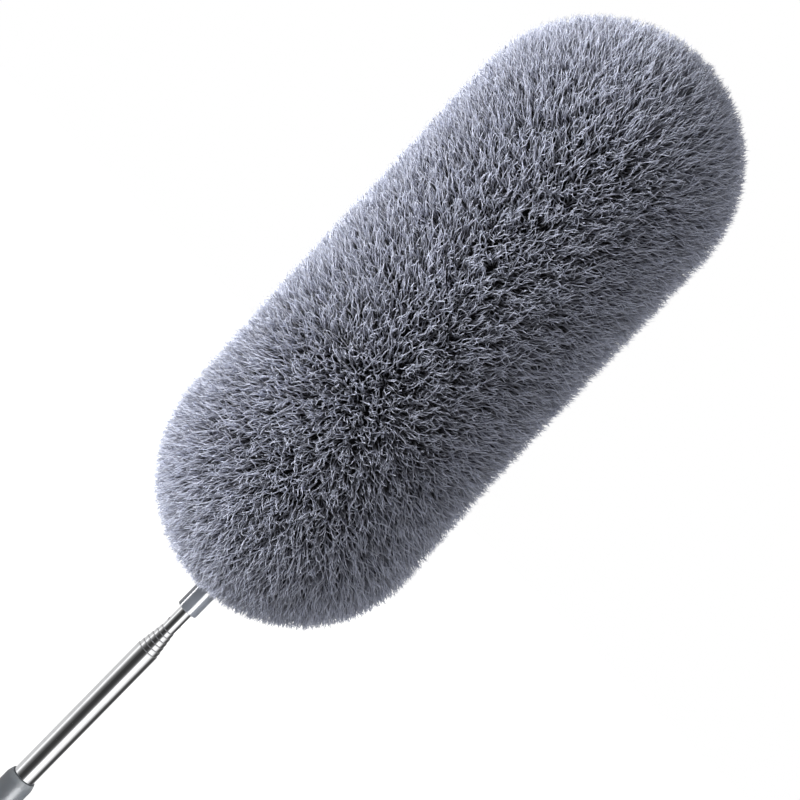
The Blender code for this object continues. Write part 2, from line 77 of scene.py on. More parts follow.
class Wiring:
    """Places nodes in a tree and joins their sockets."""

    def __init__(self, tree: bpy.types.NodeTree) -> None:
        """Keeps the tree that the nodes go into."""
        self.tree = tree

    def add(self, kind: str, inputs: dict | None = None, **settings: object) -> bpy.types.Node:
        """Adds a node.

        Args:
            kind: The node's type name.
            inputs: A value or an output socket for each input, by name or by place.
            **settings: The node's own properties, such as its operation.

        Returns:
            The new node.
        """
        node = self.tree.nodes.new(kind)
        for name, value in settings.items():
            setattr(node, name, value)
        usable = [s for s in node.inputs if s.enabled]
        for key, value in (inputs or {}).items():
            socket = usable[key] if isinstance(key, int) else next(s for s in usable if s.name == key)
            if isinstance(value, bpy.types.NodeSocket):
                self.tree.links.new(value, socket)
            else:
                socket.default_value = value
        return node

    def join(self, source: bpy.types.NodeSocket, node: bpy.types.Node, name: str) -> None:
        """Joins a socket to the named input of a node."""
        self.tree.links.new(source, node.inputs[name])

    def out(self, node: bpy.types.Node, name: str | None = None) -> bpy.types.NodeSocket:
        """The node's output of that name, or its first one in use."""
        return next(s for s in node.outputs if s.enabled and name in (None, s.name))

    def math(self, operation: str, *values: object, clamp: bool = False) -> bpy.types.NodeSocket:
        """Result of a Math node."""
        node = self.add("ShaderNodeMath", dict(enumerate(values)), operation=operation, use_clamp=clamp)
        return node.outputs[0]

    def vector(self, operation: str, *values: object) -> bpy.types.NodeSocket:
        """Result of a Vector Math node."""
        node = self.add("ShaderNodeVectorMath", dict(enumerate(values)), operation=operation)
        return self.out(node)

    def noise(
        self, place: bpy.types.NodeSocket, scale: object, detail: float = 2.0, rough: float = 0.5
    ) -> bpy.types.Node:
        """Noise texture read at a place."""
        inputs = {"Vector": place, "Scale": scale, "Detail": detail, "Roughness": rough}
        return self.add("ShaderNodeTexNoise", inputs)

    def remap(
        self, value: bpy.types.NodeSocket, taken: Point2 = (0.0, 1.0), given: Point2 = (0.0, 1.0),
        **settings: object,
    ) -> bpy.types.NodeSocket:
        """Moves a value from the range taken to the range given."""
        ends = {"From Min": taken[0], "From Max": taken[1], "To Min": given[0], "To Max": given[1]}
        return self.out(self.add("ShaderNodeMapRange", {"Value": value, **ends}, **settings))

    def split(self, vector: bpy.types.NodeSocket) -> bpy.types.bpy_prop_collection:
        """The X, Y and Z outputs of a vector."""
        return self.add("ShaderNodeSeparateXYZ", {"Vector": vector}).outputs

    def combine(self, x: object, y: object, z: object = 0.0) -> bpy.types.NodeSocket:
        """The vector of three values."""
        return self.add("ShaderNodeCombineXYZ", {"X": x, "Y": y, "Z": z}).outputs[0]

    def random(self, low: object, high: object, seed: object, kind: str = "FLOAT") -> bpy.types.NodeSocket:
        """A random value between two bounds."""
        node = self.add("FunctionNodeRandomValue", {"Min": low, "Max": high, "Seed": seed}, data_type=kind)
        return self.out(node)

    def seen_by(self, *rays: str) -> bpy.types.NodeSocket:
        """1 for the named kinds of ray, and 0 for the others."""
        path = self.add("ShaderNodeLightPath").outputs
        seen = path[rays[0]]
        for ray in rays[1:]:
            seen = self.math("MAXIMUM", seen, path[ray])
        return seen

    def ramp(self, factor: bpy.types.NodeSocket, stops: Sequence[tuple]) -> bpy.types.NodeSocket:
        """Colour of a ramp.

        Args:
            factor: What the ramp reads, from 0 to 1.
            stops: Pairs of a place and a colour or grey value, in order.

        Returns:
            The ramp's colour socket.
        """
        node = self.add("ShaderNodeValToRGB", {"Fac": factor})
        elements = node.color_ramp.elements
        for i, (place, _) in enumerate(stops):
            element = elements[i] if i < 2 else elements.new(place)
            element.position = place
        for element, (place, value) in zip(elements, stops):
            colour = value if isinstance(value, tuple) else (value, value, value)
            element.position = place
            element.color = (*colour, 1.0)
        return node.outputs["Color"]

    def mix(self, factor: object, first: object, second: object, blend: str = "MIX") -> bpy.types.NodeSocket:
        """Colour between two colours.

        Args:
            factor: Share of the second colour.
            first: The first colour or socket.
            second: The second colour or socket.
            blend: How the second is laid over the first.

        Returns:
            The mixed colour's socket.
        """
        node = self.tree.nodes.new("ShaderNodeMix")
        node.data_type = "RGBA"
        node.blend_type = blend
        wanted = {"Factor": factor, "A": first, "B": second}
        for socket in node.inputs:
            if socket.enabled and socket.name in wanted:
                value = wanted[socket.name]
                if isinstance(value, bpy.types.NodeSocket):
                    self.tree.links.new(value, socket)
                elif isinstance(value, tuple):
                    socket.default_value = (*value, 1.0)
                else:
                    socket.default_value = value
        return self.out(node, "Result")


def set_values(node: bpy.types.Node, values: dict[str, object]) -> None:
    """Sets the named inputs of a node."""
    for label, value in values.items():
        node.inputs[label].default_value = value


def new_group(name: str, inputs: dict[str, float], outputs: dict[str, str]) -> tuple:
    """Starts a shader node group.

    Args:
        name: The group's name.
        inputs: Its float inputs with their usual values.
        outputs: Its outputs, each with its kind, Float or Color.

    Returns:
        The wiring, the group's input node and its output node.
    """
    tree = bpy.data.node_groups.new(name, "ShaderNodeTree")
    for label, value in inputs.items():
        socket = tree.interface.new_socket(label, in_out="INPUT", socket_type="NodeSocketFloat")
        socket.default_value = value
    for label, kind in outputs.items():
        tree.interface.new_socket(label, in_out="OUTPUT", socket_type=f"NodeSocket{kind}")
    return Wiring(tree), tree.nodes.new("NodeGroupInput"), tree.nodes.new("NodeGroupOutput")


class Effects:
    """The node groups that several finishes share."""

    def __init__(self) -> None:
        """Builds each group once."""
        self.grain = self.make_grain()
        self.lines = self.make_lines()
        self.smudges = self.make_smudges()
        self.wear = self.make_wear()

    @staticmethod
    def make_grain() -> bpy.types.NodeTree:
        """Fine cast grain, as an eroded mould leaves on plastic."""
        wiring, given, result = new_group(
            "Moulded grain", {"Scale": 2600.0}, {"Height": "Float", "Tint": "Float"}
        )
        place = wiring.add("ShaderNodeTexCoord").outputs["Object"]
        fine = wiring.noise(place, given.outputs["Scale"], 3.0, 0.6)
        broad = wiring.noise(place, 55.0, 3.0)
        wiring.join(fine.outputs["Fac"], result, "Height")
        wiring.join(broad.outputs["Fac"], result, "Tint")
        return wiring.tree

    @staticmethod
    def make_lines() -> bpy.types.NodeTree:
        """Hair lines along the pole, as drawing a tube through a die leaves."""
        wiring, given, result = new_group(
            "Drawn lines", {"Scale": 1.0}, {"Height": "Float", "Mask": "Float"}
        )
        place = wiring.add("ShaderNodeTexCoord").outputs["Object"]
        stretched = wiring.vector("MULTIPLY", place, (2600.0, 2600.0, 22.0))
        line = wiring.noise(stretched, given.outputs["Scale"]).outputs["Fac"]
        mask = wiring.remap(line, (0.45, 0.75))
        wiring.join(line, result, "Height")
        wiring.join(mask, result, "Mask")
        return wiring.tree

    @staticmethod
    def make_smudges() -> bpy.types.NodeTree:
        """Soft patches that hands and dust leave."""
        wiring, given, result = new_group("Handling marks", {"Scale": 90.0}, {"Mask": "Float"})
        place = wiring.add("ShaderNodeTexCoord").outputs["Object"]
        patch = wiring.noise(place, given.outputs["Scale"], 5.0, 0.6)
        wiring.join(wiring.remap(patch.outputs["Fac"], (0.42, 0.72)), result, "Mask")
        return wiring.tree

    @staticmethod
    def make_wear() -> bpy.types.NodeTree:
        """A worn band round the axis at a station, broken up by noise."""
        wiring, given, result = new_group(
            "Worn band", {"Station": 0.0, "Reach": 2 * MM, "Breakup": 900.0}, {"Mask": "Float"}
        )
        place = wiring.add("ShaderNodeTexCoord").outputs["Object"]
        height = wiring.split(place)["Z"]
        away = wiring.math("ABSOLUTE", wiring.math("SUBTRACT", height, given.outputs["Station"]))
        near = wiring.math("SUBTRACT", 1.0, wiring.math("DIVIDE", away, given.outputs["Reach"]), clamp=True)
        patch = wiring.noise(place, given.outputs["Breakup"])
        broken = wiring.math("MULTIPLY", near, patch.outputs["Fac"])
        mask = wiring.math("MULTIPLY", broken, 1.6, clamp=True)
        wiring.join(mask, result, "Mask")
        return wiring.tree

    @staticmethod
    def place(wiring: Wiring, group: bpy.types.NodeTree, values: dict | None = None) -> bpy.types.Node:
        """Puts a group into a material with the material's own values."""
        node = wiring.add("ShaderNodeGroup", node_tree=group)
        set_values(node, values or {})
        return node


def new_material(name: str) -> tuple[bpy.types.Material, Wiring, bpy.types.Node]:
    """Starts a material. Returns it with its wiring and its shader node."""
    made = bpy.data.materials.new(name)
    made.use_nodes = True
    return made, Wiring(made.node_tree), made.node_tree.nodes["Principled BSDF"]


def add_bump(wiring: Wiring, shader: bpy.types.Node, height: bpy.types.NodeSocket, depth: float) -> None:
    """Joins a height to the shader's normal through a bump of a real depth."""
    bump = wiring.add("ShaderNodeBump", {"Height": height, "Distance": depth, "Strength": 1.0})
    wiring.join(bump.outputs["Normal"], shader, "Normal")


@dataclass(frozen=True)
class MetalFinish:
    """Drawn and plated metal: hair lines, handling marks and a duller band at its edge."""

    name: str
    colour: Colour
    dull: Colour
    roughness: float
    marked: float
    edge: float = 0.0
    edge_reach: float = 3 * MM
    mark_scale: float = 130.0
    mark_share: float = 0.35
    streak: float = 0.03

    def material(self, effects: Effects) -> bpy.types.Material:
        """Builds the finish as a material."""
        made, wiring, shader = new_material(self.name)
        set_values(shader, {"Metallic": 1.0})
        lines = effects.place(wiring, effects.lines)
        marks = effects.place(wiring, effects.smudges, {"Scale": self.mark_scale})
        band = effects.place(wiring, effects.wear, {"Station": self.edge, "Reach": self.edge_reach})
        handled = wiring.math("MULTIPLY", marks.outputs["Mask"], self.mark_share)
        aged = wiring.math("MAXIMUM", handled, band.outputs[0])
        colour = wiring.mix(aged, self.colour, self.dull)
        wiring.join(colour, shader, "Base Color")
        rough = wiring.remap(aged, given=(self.roughness, self.marked))
        streaked = wiring.math("MULTIPLY_ADD", lines.outputs["Mask"], self.streak, rough)
        wiring.join(streaked, shader, "Roughness")
        add_bump(wiring, shader, lines.outputs["Height"], LINE_HEIGHT)
        return made


@dataclass(frozen=True)
class PlasticFinish:
    """Moulded plastic: grain, slight colour drift, handling marks and a paler worn edge."""

    name: str
    colour: Colour
    worn: Colour
    roughness: float
    marked: float
    grain: float = 2600.0
    grain_height: float = GRAIN_HEIGHT
    coat: float = 0.0
    edge: float = 0.0
    edge_reach: float = 2 * MM
    coat_roughness: float = 0.06
    darkest: float = 0.86
    lightest: float = 1.1

    def material(self, effects: Effects) -> bpy.types.Material:
        """Builds the finish as a material."""
        made, wiring, shader = new_material(self.name)
        set_values(shader, {"Coat Weight": self.coat, "Coat Roughness": self.coat_roughness})
        grain = effects.place(wiring, effects.grain, {"Scale": self.grain})
        marks = effects.place(wiring, effects.smudges)
        band = effects.place(wiring, effects.wear, {"Station": self.edge, "Reach": self.edge_reach})
        darker = tuple(c * self.darkest for c in self.colour)
        lighter = tuple(c * self.lightest for c in self.colour)
        body = wiring.ramp(grain.outputs["Tint"], [(0.3, darker), (0.7, lighter)])
        colour = wiring.mix(band.outputs["Mask"], body, self.worn)
        wiring.join(colour, shader, "Base Color")
        rough = wiring.remap(marks.outputs["Mask"], given=(self.roughness, self.marked))
        wiring.join(rough, shader, "Roughness")
        add_bump(wiring, shader, grain.outputs["Height"], self.grain_height)
        return made


@dataclass(frozen=True)
class FibreFinish:
    """Soft crimped fibre. Its colour follows the strand's own map: tone across, and along it a painted shade,
    darker from tip to root, for the shade deep in the pile.
    """

    name: str
    root: Colour
    middle: Colour
    tip: Colour
    warm: Colour
    roughness: float = 0.6
    specular: float = 0.3
    sheen: float = 0.25
    sheen_roughness: float = 0.4
    warmth: float = 0.35
    warm_turns: float = 7.0
    barb_scale: Point3 = (90.0, 40.0, 1.0)

    def material(self) -> bpy.types.Material:
        """Builds the finish as a material."""
        made, wiring, shader = new_material(self.name)
        set_values(shader, {"Roughness": self.roughness, "Specular IOR Level": self.specular})
        set_values(shader, {"Sheen Weight": self.sheen, "Sheen Roughness": self.sheen_roughness})
        place = wiring.add("ShaderNodeUVMap", uv_map=StrandMap.LAYER.value).outputs["UV"]
        parts = wiring.split(place)
        tone, along = parts["X"], parts["Y"]
        # Painted shade: the strand darkens from tip to root, standing in for the shade deep in the pile.
        body = wiring.ramp(
            along, [(0.0, self.root), (0.34, self.root), (0.6, self.middle), (0.9, self.tip)]
        )
        light = wiring.ramp(tone, [(0.0, 0.55), (0.42, 0.66), (0.58, 0.92), (1.0, 1.25)])
        toned = wiring.mix(1.0, body, light, "MULTIPLY")
        odd = wiring.math("FRACT", wiring.math("MULTIPLY", tone, self.warm_turns))
        warmed = wiring.mix(1.0, toned, self.warm, "MULTIPLY")
        tinted = wiring.mix(wiring.math("MULTIPLY", odd, self.warmth), toned, warmed)
        wiring.join(tinted, shader, "Base Color")
        barbs = wiring.noise(wiring.vector("MULTIPLY", place, self.barb_scale), 1.0)
        add_bump(wiring, shader, barbs.outputs["Fac"], BARB_HEIGHT)
        return made


class StrandMap(Enum):
    """Names of what each strand carries: its map, and the helpers that shape it."""

    LAYER = "OFBake"
    HOME = "home"
    OUTWARD = "outward"
    DRIFT = "drift"
    TONE = "tone"
    ALONG = "along"
    EDGE = "edge"


CHROME_COLOUR = (0.86, 0.865, 0.88)


@dataclass
class Palette:
    """Every finish of the duster, built once."""

    effects: Effects = field(default_factory=Effects)
    made: dict[str, bpy.types.Material] = field(default_factory=dict)

    def build(self) -> None:
        """Makes the materials that do not depend on a tube's own edge."""
        finishes = (
            PlasticFinish(
                "satin_grip", (0.185, 0.2, 0.222), (0.26, 0.28, 0.3), 0.3, 0.38,
                edge=61.6 * MM, edge_reach=3 * MM,
            ),
            PlasticFinish(
                "satin_cap", (0.15, 0.162, 0.182), (0.27, 0.285, 0.3), 0.38, 0.52,
                edge=-88.6 * MM, edge_reach=7 * MM,
            ),
            PlasticFinish(
                "glossy_connector", (0.24, 0.26, 0.3), (0.32, 0.345, 0.38), 0.12, 0.2,
                grain=900.0, grain_height=0.003 * MM, coat=0.8, edge=213.5 * MM, edge_reach=1.2 * MM,
            ),
            PlasticFinish("white_plastic", (0.72, 0.72, 0.70), (0.55, 0.54, 0.52), 0.4, 0.55),
            PlasticFinish("black_plastic", (0.03, 0.031, 0.034), (0.09, 0.09, 0.095), 0.42, 0.6),
            MetalFinish("bright_steel", (0.72, 0.72, 0.735), (0.5, 0.5, 0.51), 0.16, 0.34),
            MetalFinish("galvanised_wire", (0.5, 0.51, 0.53), (0.34, 0.35, 0.36), 0.35, 0.55),
        )
        for finish in finishes:
            self.made[finish.name] = finish.material(self.effects)
        for finish in (
            # Painted shade: the fibre's dark root and middle colours stand in for the shade deep in the pile.
            FibreFinish(
                "fibre", root=(0.02, 0.02, 0.028), middle=(0.31, 0.322, 0.39), tip=(0.58, 0.612, 0.745),
                warm=(1.0, 0.97, 0.9),
            ),
            # Painted shade: the backing's near-black colours stand in for the shade deep in the pile.
            FibreFinish(
                "backing", root=(0.01, 0.01, 0.013), middle=(0.02, 0.02, 0.026), tip=(0.04, 0.04, 0.05),
                warm=(1.0, 0.95, 0.9),
            ),
        ):
            self.made[finish.name] = finish.material()

    def chrome(self, number: int, edge: float) -> bpy.types.Material:
        """The chrome of one tube, duller at its own rolled edge."""
        finish = MetalFinish(f"chrome_{number}", CHROME_COLOUR, (0.6, 0.6, 0.61), 0.07, 0.16, edge, 2 * MM)
        return finish.material(self.effects)


def link_object(
    name: str, data: bpy.types.ID, material: bpy.types.Material | None = None
) -> bpy.types.Object:
    """Adds a camera, a lamp or a mesh, with its material, to the scene as an object."""
    if material:
        data.materials.append(material)
    made = bpy.data.objects.new(name, data)
    bpy.context.scene.collection.objects.link(made)
    return made


def mesh_from(shape: bmesh.types.BMesh, name: str) -> bpy.types.Mesh:
    """Turns a working shape into a mesh, and frees the shape."""
    mesh = bpy.data.meshes.new(name)
    shape.to_mesh(mesh)
    shape.free()
    return mesh


def shares(steps: int) -> list[float]:
    """Even shares of a whole, the last of them 1."""
    return [i / steps for i in range(1, steps + 1)]


def filleted(corners: Sequence[Point3], closed: bool, steps: int = 5) -> list[Point2]:
    """Rounds the corners of a profile.

    Args:
        corners: Radius, height and fillet of each corner.
        closed: Whether the last corner joins the first.
        steps: Points of each rounding.

    Returns:
        The profile's points.
    """
    count = len(corners)
    points: list[Point2] = []
    for i, (radius, height, fillet) in enumerate(corners):
        inner = closed or 0 < i < count - 1
        if not fillet or not inner:
            points.append((radius, height))
            continue
        here = Vector((radius, height))
        before = Vector(corners[i - 1][:2]) - here
        after = Vector(corners[(i + 1) % count][:2]) - here
        reach = min(fillet, before.length * 0.49, after.length * 0.49)
        start, end = here + before.normalized() * reach, here + after.normalized() * reach
        for k in range(steps + 1):
            t = k / steps
            point = start * (1 - t) ** 2 + here * (2 * t * (1 - t)) + end * t**2
            points.append((point.x, point.y))
    return points


@dataclass
class Turning:
    """Makes turned pieces round a leaning or upright axis."""

    facets: int = 96
    sharp_angle: float = math.radians(38)

    def mesh(self, name: str, profile: Sequence[Point2], closed: bool = True) -> bpy.types.Mesh:
        """Turns a profile round the Z axis.

        Args:
            name: The mesh's name.
            profile: Radius and height pairs.
            closed: Whether the last point joins the first. An open profile ends on the axis.

        Returns:
            A closed mesh with its faces outwards.
        """
        shape = bmesh.new()
        rings = []
        for radius, height in profile:
            if radius < 1e-7:
                rings.append([shape.verts.new((0.0, 0.0, height))])
                continue
            turns = (2 * math.pi * k / self.facets for k in range(self.facets))
            rings.append(
                [shape.verts.new((radius * math.cos(a), radius * math.sin(a), height)) for a in turns]
            )
        pairs = list(zip(rings, rings[1:]))
        if closed:
            pairs.append((rings[-1], rings[0]))
        for low, high in pairs:
            for k in range(self.facets):
                n = (k + 1) % self.facets
                corners = [low[k % len(low)], low[n % len(low)], high[n % len(high)], high[k % len(high)]]
                ring = [v for j, v in enumerate(corners) if v not in corners[:j]]
                if len(ring) > 2:
                    shape.faces.new(ring)
        bmesh.ops.remove_doubles(shape, verts=shape.verts, dist=1e-7)
        bmesh.ops.recalc_face_normals(shape, faces=shape.faces)
        mesh = mesh_from(shape, name)
        mesh.shade_smooth()
        mesh.set_sharp_from_angle(angle=self.sharp_angle)
        return mesh

    def piece(
        self, name: str, profile: Sequence[Point2], material: bpy.types.Material, closed: bool = True
    ) -> bpy.types.Object:
        """Turns a profile into a piece with its material."""
        return link_object(name, self.mesh(name, profile, closed), material)

    def seated(
        self, name: str, corners: Sequence[Point3], material: bpy.types.Material, place: tuple[str, str, str],
        closed: bool = True, steps: int = 5,
    ) -> None:
        """Turns rounded corners into a piece that rides in place of a CAD node.

        Args:
            name: The piece's name.
            corners: Radius, height and fillet of each corner.
            material: The piece's finish.
            place: Its body, the node that it replaces and its record slot.
            closed: Whether the last corner joins the first.
            steps: Points of each rounding.
        """
        body, node, slot = place
        seat(self.piece(name, filleted(corners, closed, steps), material, closed), body, [node], slot)


def finished_mesh(piece: bpy.types.Object, name: str) -> bpy.types.Object:
    """Turns an object with modifiers into a plain mesh object. The first one is removed."""
    bpy.context.view_layer.update()
    graph = bpy.context.evaluated_depsgraph_get()
    mesh = bpy.data.meshes.new_from_object(piece.evaluated_get(graph), depsgraph=graph)
    bpy.data.objects.remove(piece)
    mesh.name = name
    return link_object(name, mesh)


def add_cut(piece: bpy.types.Object, operation: str, other: bpy.types.Object) -> None:
    """Lets a piece join with another object, or be cut by it."""
    cut = piece.modifiers.new(operation, "BOOLEAN")
    cut.operation = operation
    cut.solver = "EXACT"
    cut.object = other


LIT_BY = {"connector_grey": ("plastics", "sleeve"), "grip_grey": ("plastics",), "cap_grey": ("plastics",)}


def seat(piece: bpy.types.Object, body: str, nodes: Sequence[str], slot: str) -> None:
    """Lets a piece ride on a body in place of CAD nodes, and puts it in the lamp collections listed for its
    slot.
    """
    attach(piece, body)
    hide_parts(*nodes)
    for name in LIT_BY.get(slot, ()):
        bpy.data.collections[name].objects.link(piece)
    LOG.info("%s rides on %s, %d faces", piece.name, body, len(piece.data.polygons))


@dataclass
class TelescopicPole:
    """Seven nested chromed tubes, their glides, and the smallest tube's pin and plug."""

    palette: Palette
    turning: Turning
    count: int = 7
    outer_radius: float = 7.9 * MM
    step: float = 0.525 * MM
    wall: float = 0.36 * MM
    base: float = -57.6 * MM
    base_step: float = 3.6 * MM
    length: float = 235.7 * MM
    last_top: float = 246.5 * MM
    running_fit: float = 0.05 * MM
    flare: float = 0.115 * MM
    flare_height: float = 14.0 * MM
    flare_run: float = 0.6 * MM
    lip_height: float = 1.2 * MM
    pin_station: float = 201.8 * MM
    pin_radius: float = 0.8 * MM
    pin_proud: float = 0.35 * MM
    pin_gap: float = 0.45 * MM
    pin_turn: float = math.radians(14)
    drill_length: float = 12.0 * MM
    roll_height: float = 1.3 * MM
    seat_gap: float = 0.3 * MM
    flange: float = 1.5 * MM
    spigot: float = 1.8 * MM
    vent_radius: float = 1.0 * MM
    plug_flange: float = 1.8 * MM
    plug_depth: float = 12.0 * MM

    def radius(self, number: int) -> float:
        """Outer radius of a tube, 1 being the widest."""
        return self.outer_radius - (number - 1) * self.step

    def foot(self, number: int) -> float:
        """Station of a tube's lower end."""
        return self.base + (number - 1) * self.base_step

    def top(self, number: int) -> float:
        """Station of a tube's upper end."""
        return self.last_top if number == self.count else self.foot(number) + self.length

    def body(self, number: int) -> str:
        """The CAD body that carries a tube."""
        return "handle" if number == 1 else f"section_{number}"

    def tube_profile(self, number: int) -> list[Point2]:
        """A tube's wall, with its rolled lip at the top and its flare at the foot."""
        radius, foot, top = self.radius(number), self.foot(number), self.top(number)
        bore = radius - self.wall
        lip = bore if number == self.count else self.radius(number + 1) + self.running_fit
        roll = self.wall if number == self.count else self.roll_height
        corners = []
        for i in range(11):
            angle = math.pi / 2 * (1 - i / 10)
            corners.append((lip + (radius - lip) * math.cos(angle), top - roll * (1 - math.sin(angle)), 0.0))
        if number > 1:
            wide = radius + self.flare
            corners += [(radius, foot + self.flare_height + self.flare_run, 0.5 * MM)]
            corners += [(wide, foot + self.flare_height, 0.3 * MM), (wide, foot, 0.1 * MM)]
        else:
            corners += [(radius, foot, 0.1 * MM)]
        corners += [(bore, foot, 0.05 * MM)]
        if number < self.count:
            corners += [(bore, top - self.lip_height, 0.3 * MM), (lip, top - self.lip_height, 0.05 * MM)]
        return filleted(corners, closed=True)

    def build(self) -> None:
        """Makes every piece of the pole and seats it."""
        for number in range(1, self.count + 1):
            chrome = self.palette.chrome(number, self.top(number))
            tube = self.turning.piece(f"pole_tube_{number}", self.tube_profile(number), chrome)
            if number == self.count:
                tube = self.drilled(tube)
            seat(tube, self.body(number), [f"tube_{number}"], "chrome_tube")
            self.build_glide(number)
        self.build_pin()
        self.build_tip_plug()

    def drilled(self, tube: bpy.types.Object) -> bpy.types.Object:
        """Cuts the cross pin's hole through the smallest tube."""
        hole = self.pin_radius + self.pin_gap
        drill = across_bar("drill", hole, self.drill_length, self.pin_station, 48)
        drill.data.transform(Matrix.Rotation(self.pin_turn, 4, "Z"))
        add_cut(tube, "DIFFERENCE", drill)
        made = finished_mesh(tube, tube.name)
        bpy.data.objects.remove(drill)
        made.data.set_sharp_from_angle(angle=self.turning.sharp_angle)
        return made

    def build_glide(self, number: int) -> None:
        """The white plug in a tube's foot, with its vent."""
        foot = self.foot(number) - self.seat_gap
        top, low = foot + self.spigot, foot - self.flange
        flange = self.radius(number) + (self.flare if number > 1 else 0.0)
        spigot = self.radius(number) - self.wall - self.running_fit
        corners = [
            (spigot, top, 0.25 * MM),
            (spigot, foot, 0.05 * MM),
            (flange, foot, 0.15 * MM),
            (flange, low, 0.3 * MM),
            (self.vent_radius, low, 0.2 * MM),
            (self.vent_radius, top, 0.2 * MM),
        ]
        node = f"glide_{number}" if number > 1 else "end_plug"
        white = self.palette.made["white_plastic"]
        self.turning.seated(f"pole_{node}", corners, white, (self.body(number), node, "glide_white"))

    def build_pin(self) -> None:
        """The cross pin, with domed ends."""
        reach = self.radius(self.count) + self.pin_proud
        corners = [
            (0.0, reach, 0.0),
            (self.pin_radius, reach, 0.3 * MM),
            (self.pin_radius, -reach, 0.3 * MM),
            (0.0, -reach, 0.0),
        ]
        profile = filleted(corners, closed=False)
        mesh = self.turning.mesh("pole_stop_pin", profile, closed=False)
        aimed = Matrix.Rotation(self.pin_turn, 4, "Z") @ turn_across().to_4x4()
        mesh.transform(Matrix.Translation((0.0, 0.0, self.pin_station)) @ aimed)
        pin = link_object("pole_stop_pin", mesh, self.palette.made["bright_steel"])
        seat(pin, self.body(self.count), ["stop_pin"], "pin_steel")

    def build_tip_plug(self) -> None:
        """The plug that closes the smallest tube's tip."""
        radius, top = self.radius(self.count), self.last_top
        spigot = radius - self.wall - self.running_fit
        corners = [
            (0.0, top + self.plug_flange, 0.0),
            (radius, top + self.plug_flange, 0.7 * MM),
            (radius, top + self.seat_gap, 0.1 * MM),
            (spigot, top + self.seat_gap, 0.05 * MM),
            (spigot, top - self.plug_depth, 0.4 * MM),
            (0.0, top - self.plug_depth, 0.0),
        ]
        white = self.palette.made["white_plastic"]
        place = (self.body(self.count), "tip_plug", "glide_white")
        self.turning.seated("pole_tip_plug", corners, white, place, closed=False)


def turn_across() -> Matrix:
    """The turn that lays an upright piece along X."""
    return Vector(Axis.UP.value).rotation_difference(Vector(Axis.ACROSS.value)).to_matrix()


def across_bar(name: str, radius: float, length: float, station: float, facets: int) -> bpy.types.Object:
    """A round bar along X through the axis, used to cut a hole."""
    shape = bmesh.new()
    bmesh.ops.create_cone(shape, cap_ends=True, segments=facets, radius1=radius, radius2=radius, depth=length)
    bmesh.ops.rotate(shape, verts=shape.verts, matrix=turn_across())
    bmesh.ops.translate(shape, verts=shape.verts, vec=(0.0, 0.0, station))
    return link_object(name, mesh_from(shape, name))


